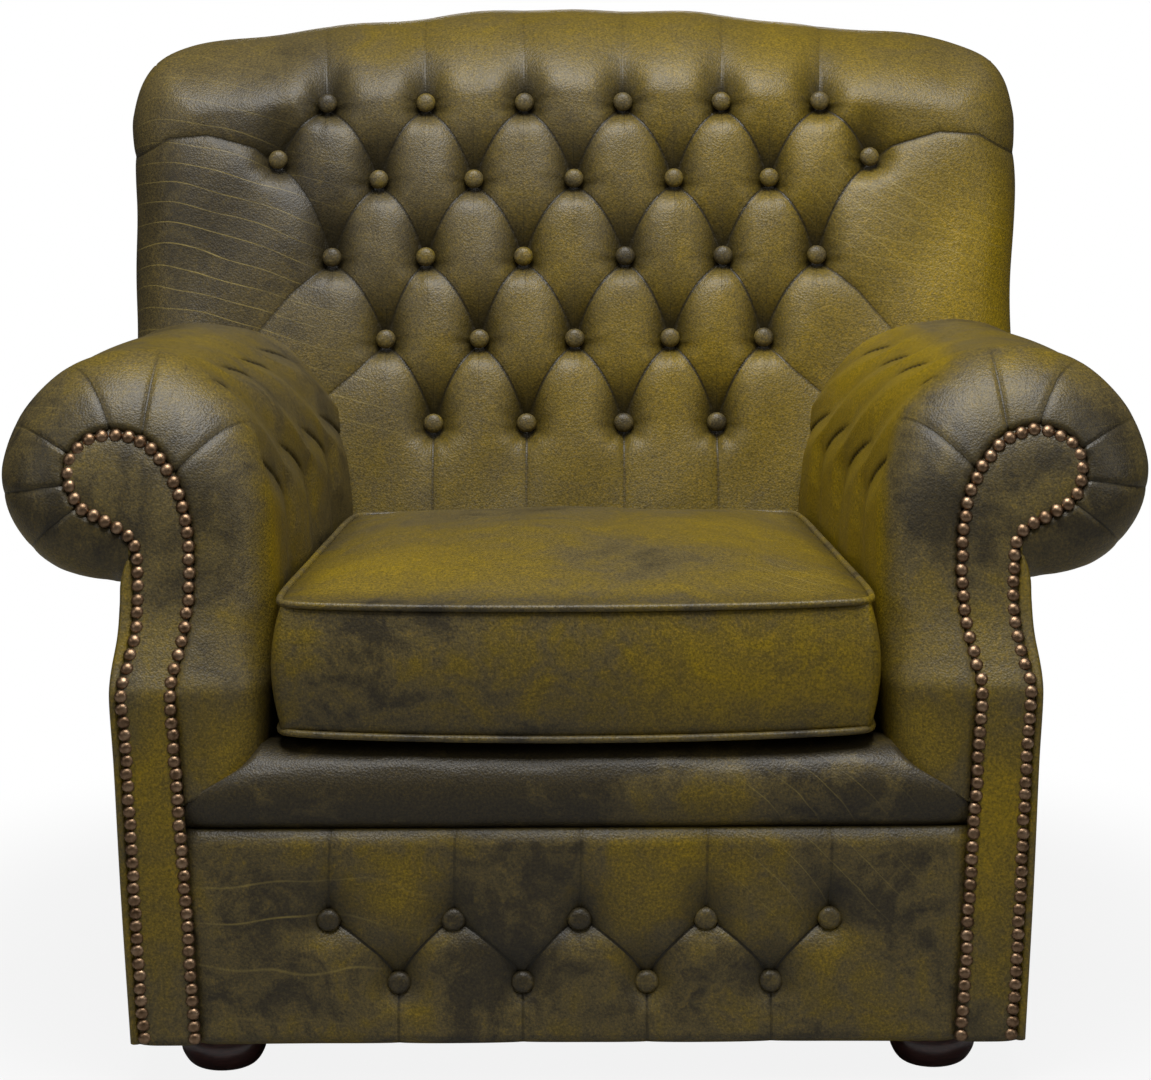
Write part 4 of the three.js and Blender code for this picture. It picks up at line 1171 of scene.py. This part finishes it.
shape = cushion_shape / MM
sx, sy, sz = shape.T
seam_gap = np.minimum(np.abs(sz - SEAM_HIGH), np.abs(sz - SEAM_LOW))
on_top, on_front = ramp(sz, 428, 440), ramp(-sy, 395, 420)
dents = DENT_DEPTH * np.sin(sx / 37.0 + sy / 61.0) * np.sin(sy / 43.0 - sx / 71.0)
sz[:] = np.maximum(sz, SEAT_LEVEL) + dents * on_top
seat_cushion.data.vertices.foreach_set("co", (shape * MM).ravel())
rubbed = 0.10 + on_top * spots(sx, sy, TOP_RUBBED) + on_front * spots(sx, sz, FRONT_RUBBED)
cushion_wear = dict(fold=0.55 * np.clip(1 - seam_gap / 7.0, 0, 1), yellow=rubbed,
                    even=0.4 * on_top - 0.25 * on_front, scratch=on_top * spot(sx, sy, 200, -360, 60, 60))
for key, values in cushion_wear.items():
    seat_cushion.data.attributes.new(key, "FLOAT", "POINT").data.foreach_set("value", values)
seat_cushion.data.update()
fit_on(seat_cushion, leather, "green_leather", "seat_cushion", fill=0.75)

# %% cushion piping
PIPE_RADIUS, PIPE_LIFT = 3.3, 2.2


def cord_along(loop, radius, around=10):
    """A closed tube: at each point a circle in the plane of the outward and upward directions."""
    along = np.roll(loop, -1, axis=0) - np.roll(loop, 1, axis=0)
    along /= np.linalg.norm(along, axis=1, keepdims=True)
    outward = level_outward(loop)
    up = np.cross(outward, along)
    angle = np.linspace(0, 2 * np.pi, around, endpoint=False)[None, :, None]
    ring = outward[:, None] * np.cos(angle) + up[:, None] * np.sin(angle)
    index = np.arange(len(loop) * around).reshape(-1, around)
    quads = np.concatenate([grid_faces(len(loop), around, wrap=True), loop_faces(index[-1], index[0])])
    return (loop[:, None] + ring * radius).reshape(-1, 3), quads


def soften(loop, times):
    """Averages each point of a loop with its neighbours."""
    for _ in range(times):
        loop = 0.5 * loop + 0.25 * (np.roll(loop, 1, axis=0) + np.roll(loop, -1, axis=0))
    return loop


for end, seam in SEAMS.items():
    loop = soften(shape[seam], 6)
    verts, quads = cord_along(loop + level_outward(loop) * PIPE_LIFT, PIPE_RADIUS)
    piece = body(f"leather_piping_{end}", verts, quads, upright=True, yellow=np.full(len(verts), -0.05))
    fit_on(piece, leather, "green_leather", f"cushion_piping_{end}")

# %% [markdown]
# ## Outside panels
# The sides and the rear are not seen in the photograph. They are plain tight panels of the same leather.
# The side panel turns round the front edge to meet the nails of the arm front. They could be flat boards,
# but a little puff between the edges shows that leather is stretched over wadding.

# %% outside arms
FOOT_Z, NECK_Z = 40.0, 474.0
SIDE_ZX = [(40, 377), (170, 384.5), (285, 390), (357, 394), (400, 389.5), (427, 388.5), (448, 388),
           (474, 381)]
LINE_Z, LINE_X = np.array([(40, 366.7), (116, 371.3), (209, 376.4), (306, 381.4), (357, 385), (377, 381),
                           (391, 378), (408, 375), (427, 374.5), (449, 375.5), (474, 378)]).T
PANEL_PUFF = 5.0


def side_column(x, y):
    """One column of the side panel's section over all heights."""
    return np.stack([x, y, side_rows], -1)[:, None]


side_rows = np.linspace(FOOT_Z, NECK_Z, 96)
out_x = np.interp(side_rows, *smooth_path(SIDE_ZX, 400).T)
line_x = np.interp(side_rows, LINE_Z, LINE_X)
front_y, rear_y = face_y(side_rows), back_rear_y(side_rows) - 3.0
run = np.linspace(0, 1, 110)[None]
length_y = front_y[:, None] + 9.0 + (rear_y - front_y - 9.0)[:, None] * run
puff = np.sin(np.pi * np.clip((side_rows - FOOT_Z) / 400.0, 0, 1))[:, None] ** 0.6
puff = PANEL_PUFF * np.sin(np.pi * run) ** 0.6 * puff
long_side = np.stack([out_x[:, None] + puff - 2.0, length_y, side_rows[:, None] + 0 * run], -1)
turned_edge = [side_column(line_x - 1.0, front_y + 3.0), side_column(line_x + 2.0, front_y + 0.5),
               side_column(out_x - 5.0, front_y), side_column(out_x - 2.8, front_y + 2.0),
               side_column(out_x - 2.0, front_y + 5.0)]
closing = [side_column(out_x - 12.0, rear_y), side_column(out_x - 16.0, rear_y - 30.0),
           side_column(out_x - 18.0, front_y + 40.0)]
side_loops = np.concatenate(turned_edge + [long_side] + closing, axis=1)
for side, s in SIDES:
    piece = body(f"{side}_outside_leather", *tube(side_loops * s),
                 yellow=np.full(side_loops[..., 0].size, 0.15))
    fit_on(piece, leather, "green_leather", f"{side}_outside_arm", fill=0.3)

# %% outside back
PANEL_Z, PANEL_X = np.array([(40, 375.5), (170, 383), (285, 388.5), (357, 392.5), (400, 388), (427, 387),
                             (448, 386.5), (472, 380.5), (475, 437.5), (610, 438), (700, 443.5), (790, 450),
                             (820, 449), (846, 440), (872, 400)]).T
RIM_X, RIM_Z = np.array([(0, 872), (100, 869), (200, 860), (300, 849), (366, 844), (403, 839), (428, 833),
                         (444, 826)], float).T
UPPER_Z, TOP_Z = 700.0, 872.0

pz_rows = np.concatenate([np.linspace(FOOT_Z, 470, 60), np.linspace(472, 478, 5),
                          np.linspace(486, TOP_Z, 62)])
pu, nominal = np.meshgrid(np.linspace(-1, 1, 90), pz_rows)
panel_x = pu * np.interp(nominal, PANEL_Z, PANEL_X)
lower_top = (np.interp(np.abs(panel_x), RIM_X, RIM_Z) - UPPER_Z) / (TOP_Z - UPPER_Z)
pv = np.where(nominal < UPPER_Z, nominal, UPPER_Z + (nominal - UPPER_Z) * lower_top)
swell = PANEL_PUFF * (1 - pu**4) * np.sin(np.pi * np.clip((pv - FOOT_Z) / (TOP_Z - FOOT_Z), 0, 1)) ** 0.7
panel_rear = np.stack([panel_x, back_rear_y(pv) - 2.5 + swell, pv], -1)
panel_front = panel_rear.reshape(-1, 3)[edge_of(*pu.shape)] - (0.0, 10.0, 0.0)
panel = body("outside_back_leather", *shell(panel_rear, [panel_front]), yellow=np.full(pu.size, 0.12))
fit_on(panel, leather, "green_leather", "outside_back_panel", fill=0.2)

# %% [markdown]
# ## Feet
# The feet are turned mahogany buns with a dark gloss polish. A profile spun round the vertical axis gives
# the shape, as a lathe does, and a stretched noise makes the grain. A screw modifier could spin it too, but
# the arrays are at hand.

# %% feet
def make_mahogany():
    """Dark red-brown wood: stretched noise between two browns under a clear coat."""
    material, tree, shader = new_material("dark_mahogany")
    coords = put(tree, "ShaderNodeTexCoord").outputs["Object"]
    stretched = put(tree, "ShaderNodeMapping", [("Vector", coords)])
    stretched.inputs["Scale"].default_value = (1.0, 1.0, 7.0)
    tone = colour_ramp(tree, noise(tree, stretched.outputs["Vector"], 60.0, 5.0, 0.6, 1.2),
                       [(0.35, (0.032, 0.011, 0.010)), (0.6, (0.075, 0.026, 0.022)),
                        (0.8, (0.120, 0.042, 0.033))])
    tree.links.new(shader.inputs["Base Color"], tone)
    shader.inputs["Roughness"].default_value = 0.3
    shader.inputs["Coat Weight"].default_value = 0.5
    shader.inputs["Coat Roughness"].default_value = 0.12
    return material


mahogany = make_mahogany()
FOOT_X, FOOT_Y = 317.9, {"front": -366.0, "rear": 352.0}
FOOT_PROFILE = smooth_path([(2, 0), (14, 0), (23, 0.3), (31, 5), (37, 15), (38, 24), (35, 34), (28.5, 42),
                            (26.5, 46), (26, 53), (26, 59.2)], 40)
for side, s in SIDES:
    for end, y in FOOT_Y.items():
        loops = spin(FOOT_PROFILE, 48) + np.array([s[0] * FOOT_X, y, 0.0])
        piece = body(f"{side}_{end}_bun_foot", *tube(loops), upright=True)
        fit_on(piece, mahogany, "mahogany", f"{side}_{end}_foot")

# %% [markdown]
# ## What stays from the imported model
# The timbers, the springs, the seat deck and the dust cover are right as they are. They could be modelled
# again, but they are hidden, so they only get a sawn wood, a drawn wire and a black lining cloth.

# %% hidden materials
def make_plain(name, dark, light, scale, rough, metal=0.0, stretch=(1.0, 1.0, 1.0)):
    """A plain finish: two tones mixed by a stretched noise that also makes a small bump."""
    material, tree, shader = new_material(name)
    coords = put(tree, "ShaderNodeTexCoord").outputs["Object"]
    turned = put(tree, "ShaderNodeMapping", [("Vector", coords)])
    turned.inputs["Scale"].default_value = stretch
    cloud = noise(tree, turned.outputs["Vector"], scale, 4.0, 0.6)
    tree.links.new(shader.inputs["Base Color"], colour_ramp(tree, cloud, [(0.35, dark), (0.7, light)]))
    bump = put(tree, "ShaderNodeBump", [("Height", cloud)], Strength=0.25, Distance=0.0006)
    tree.links.new(shader.inputs["Normal"], bump.outputs["Normal"])
    shader.inputs["Roughness"].default_value = rough
    shader.inputs["Metallic"].default_value = metal
    return material


hardwood = make_plain("sawn_hardwood", (0.26, 0.16, 0.08), (0.5, 0.36, 0.2), 30.0, 0.6,
                      stretch=(0.15, 0.15, 1.0))
wire = make_plain("drawn_wire", (0.18, 0.18, 0.18), (0.42, 0.42, 0.42), 200.0, 0.4, metal=1.0)
lining = make_plain("lining_cloth", (0.012, 0.012, 0.012), (0.04, 0.04, 0.04), 900.0, 0.9)
by_slot = {"hardwood": hardwood, "spring_steel": wire, "lining_cloth": lining, "green_leather": leather,
           "mahogany": mahogany, "nail_bronze": bronze}
slot_of = {entry["node"]: entry["material_slot"] for entry in frame["record"]["subparts"]}
for name, obj in frame["nodes"].items():
    obj.data.materials.clear()
    obj.data.materials.append(by_slot[slot_of[name]])
print("materials given to", len(frame["nodes"]), "nodes")

# %% [markdown]
# ## Floor and light
# A pale floor and a white surround, a large soft light above and in front, and weaker ones at the sides and
# behind, as in a plain product studio. A picture of a room could light it too, but lamps of known place and
# size are easier to match to the soft shadow under the chair.

# %% floor
SHADOW_NEAR, SHADOW_FAR = 0.55, 0.95
WHITE_NEAR = 0.88
FLOOR = 9.0


def make_floor():
    """White to the camera, pale and matt to all other light, keeping a soft shadow near the chair."""
    material, tree, shader = new_material("pale_floor")
    shader.inputs["Base Color"].default_value = (0.32, 0.32, 0.32, 1.0)
    shader.inputs["Roughness"].default_value = 0.9
    white = put(tree, "ShaderNodeEmission", Strength=1.0)
    path_node = put(tree, "ShaderNodeLightPath")
    coords = put(tree, "ShaderNodeTexCoord").outputs["Object"]
    reach = put(tree, "ShaderNodeVectorMath", [(0, coords)], operation="LENGTH").outputs["Value"]
    far = remap(tree, reach, SHADOW_NEAR, SHADOW_FAR, WHITE_NEAR, 1.0, smooth=True)
    share = math_node(tree, "MULTIPLY", path_node.outputs["Is Camera Ray"], far)
    mixed = put(tree, "ShaderNodeMixShader", [(0, share), (1, shader.outputs[0]), (2, white.outputs[0])])
    out = tree.nodes["Material Output"]
    tree.links.new(out.inputs["Surface"], mixed.outputs[0])
    return material


floor_mesh = bpy.data.meshes.new("studio_floor")
corners = [(x * FLOOR, y * FLOOR, 0) for x, y in ((-1, -1), (1, -1), (1, 1), (-1, 1))]
floor_mesh.from_pydata(corners, [], [(0, 1, 2, 3)])
floor = bpy.data.objects.new("studio_floor", floor_mesh)
bpy.context.collection.objects.link(floor)
floor_mesh.materials.append(make_floor())

# %% light
world = bpy.data.worlds.new("studio")
bpy.context.scene.world = world
world.use_nodes = True
tree = world.node_tree
path_node = put(tree, "ShaderNodeLightPath")
background = tree.nodes["Background"]
background.inputs["Color"].default_value = (1.0, 1.0, 1.0, 1.0)
strength = math_node(tree, "MAXIMUM", path_node.outputs["Is Camera Ray"], 0.06)
tree.links.new(background.inputs["Strength"], strength)


def soft_light(name, place, aim, size, watts):
    """A square area light at a place, turned towards a point."""
    data = bpy.data.lights.new(name, "AREA")
    data.size = size
    data.energy = watts
    light = bpy.data.objects.new(name, data)
    light.location = place
    way = np.asarray(aim, float) - np.asarray(place, float)
    flat_run = math.hypot(way[0], way[1])
    light.rotation_euler = (math.atan2(flat_run, -way[2]), 0.0, math.atan2(-way[0], way[1]))
    bpy.context.collection.objects.link(light)


soft_light("top_light", (0.0, -1.0, 3.0), (0.0, 0.0, 0.5), 1.7, 108.0)
soft_light("left_light", (-2.3, -1.8, 1.7), (0.0, 0.0, 0.5), 1.2, 9.0)
soft_light("right_light", (2.3, -1.8, 1.7), (0.0, 0.0, 0.5), 1.2, 11.0)
soft_light("rear_light", (0.0, 2.6, 0.9), (0.0, 0.4, 0.45), 1.0, 16.0)
print("lights:", len(bpy.data.lights))
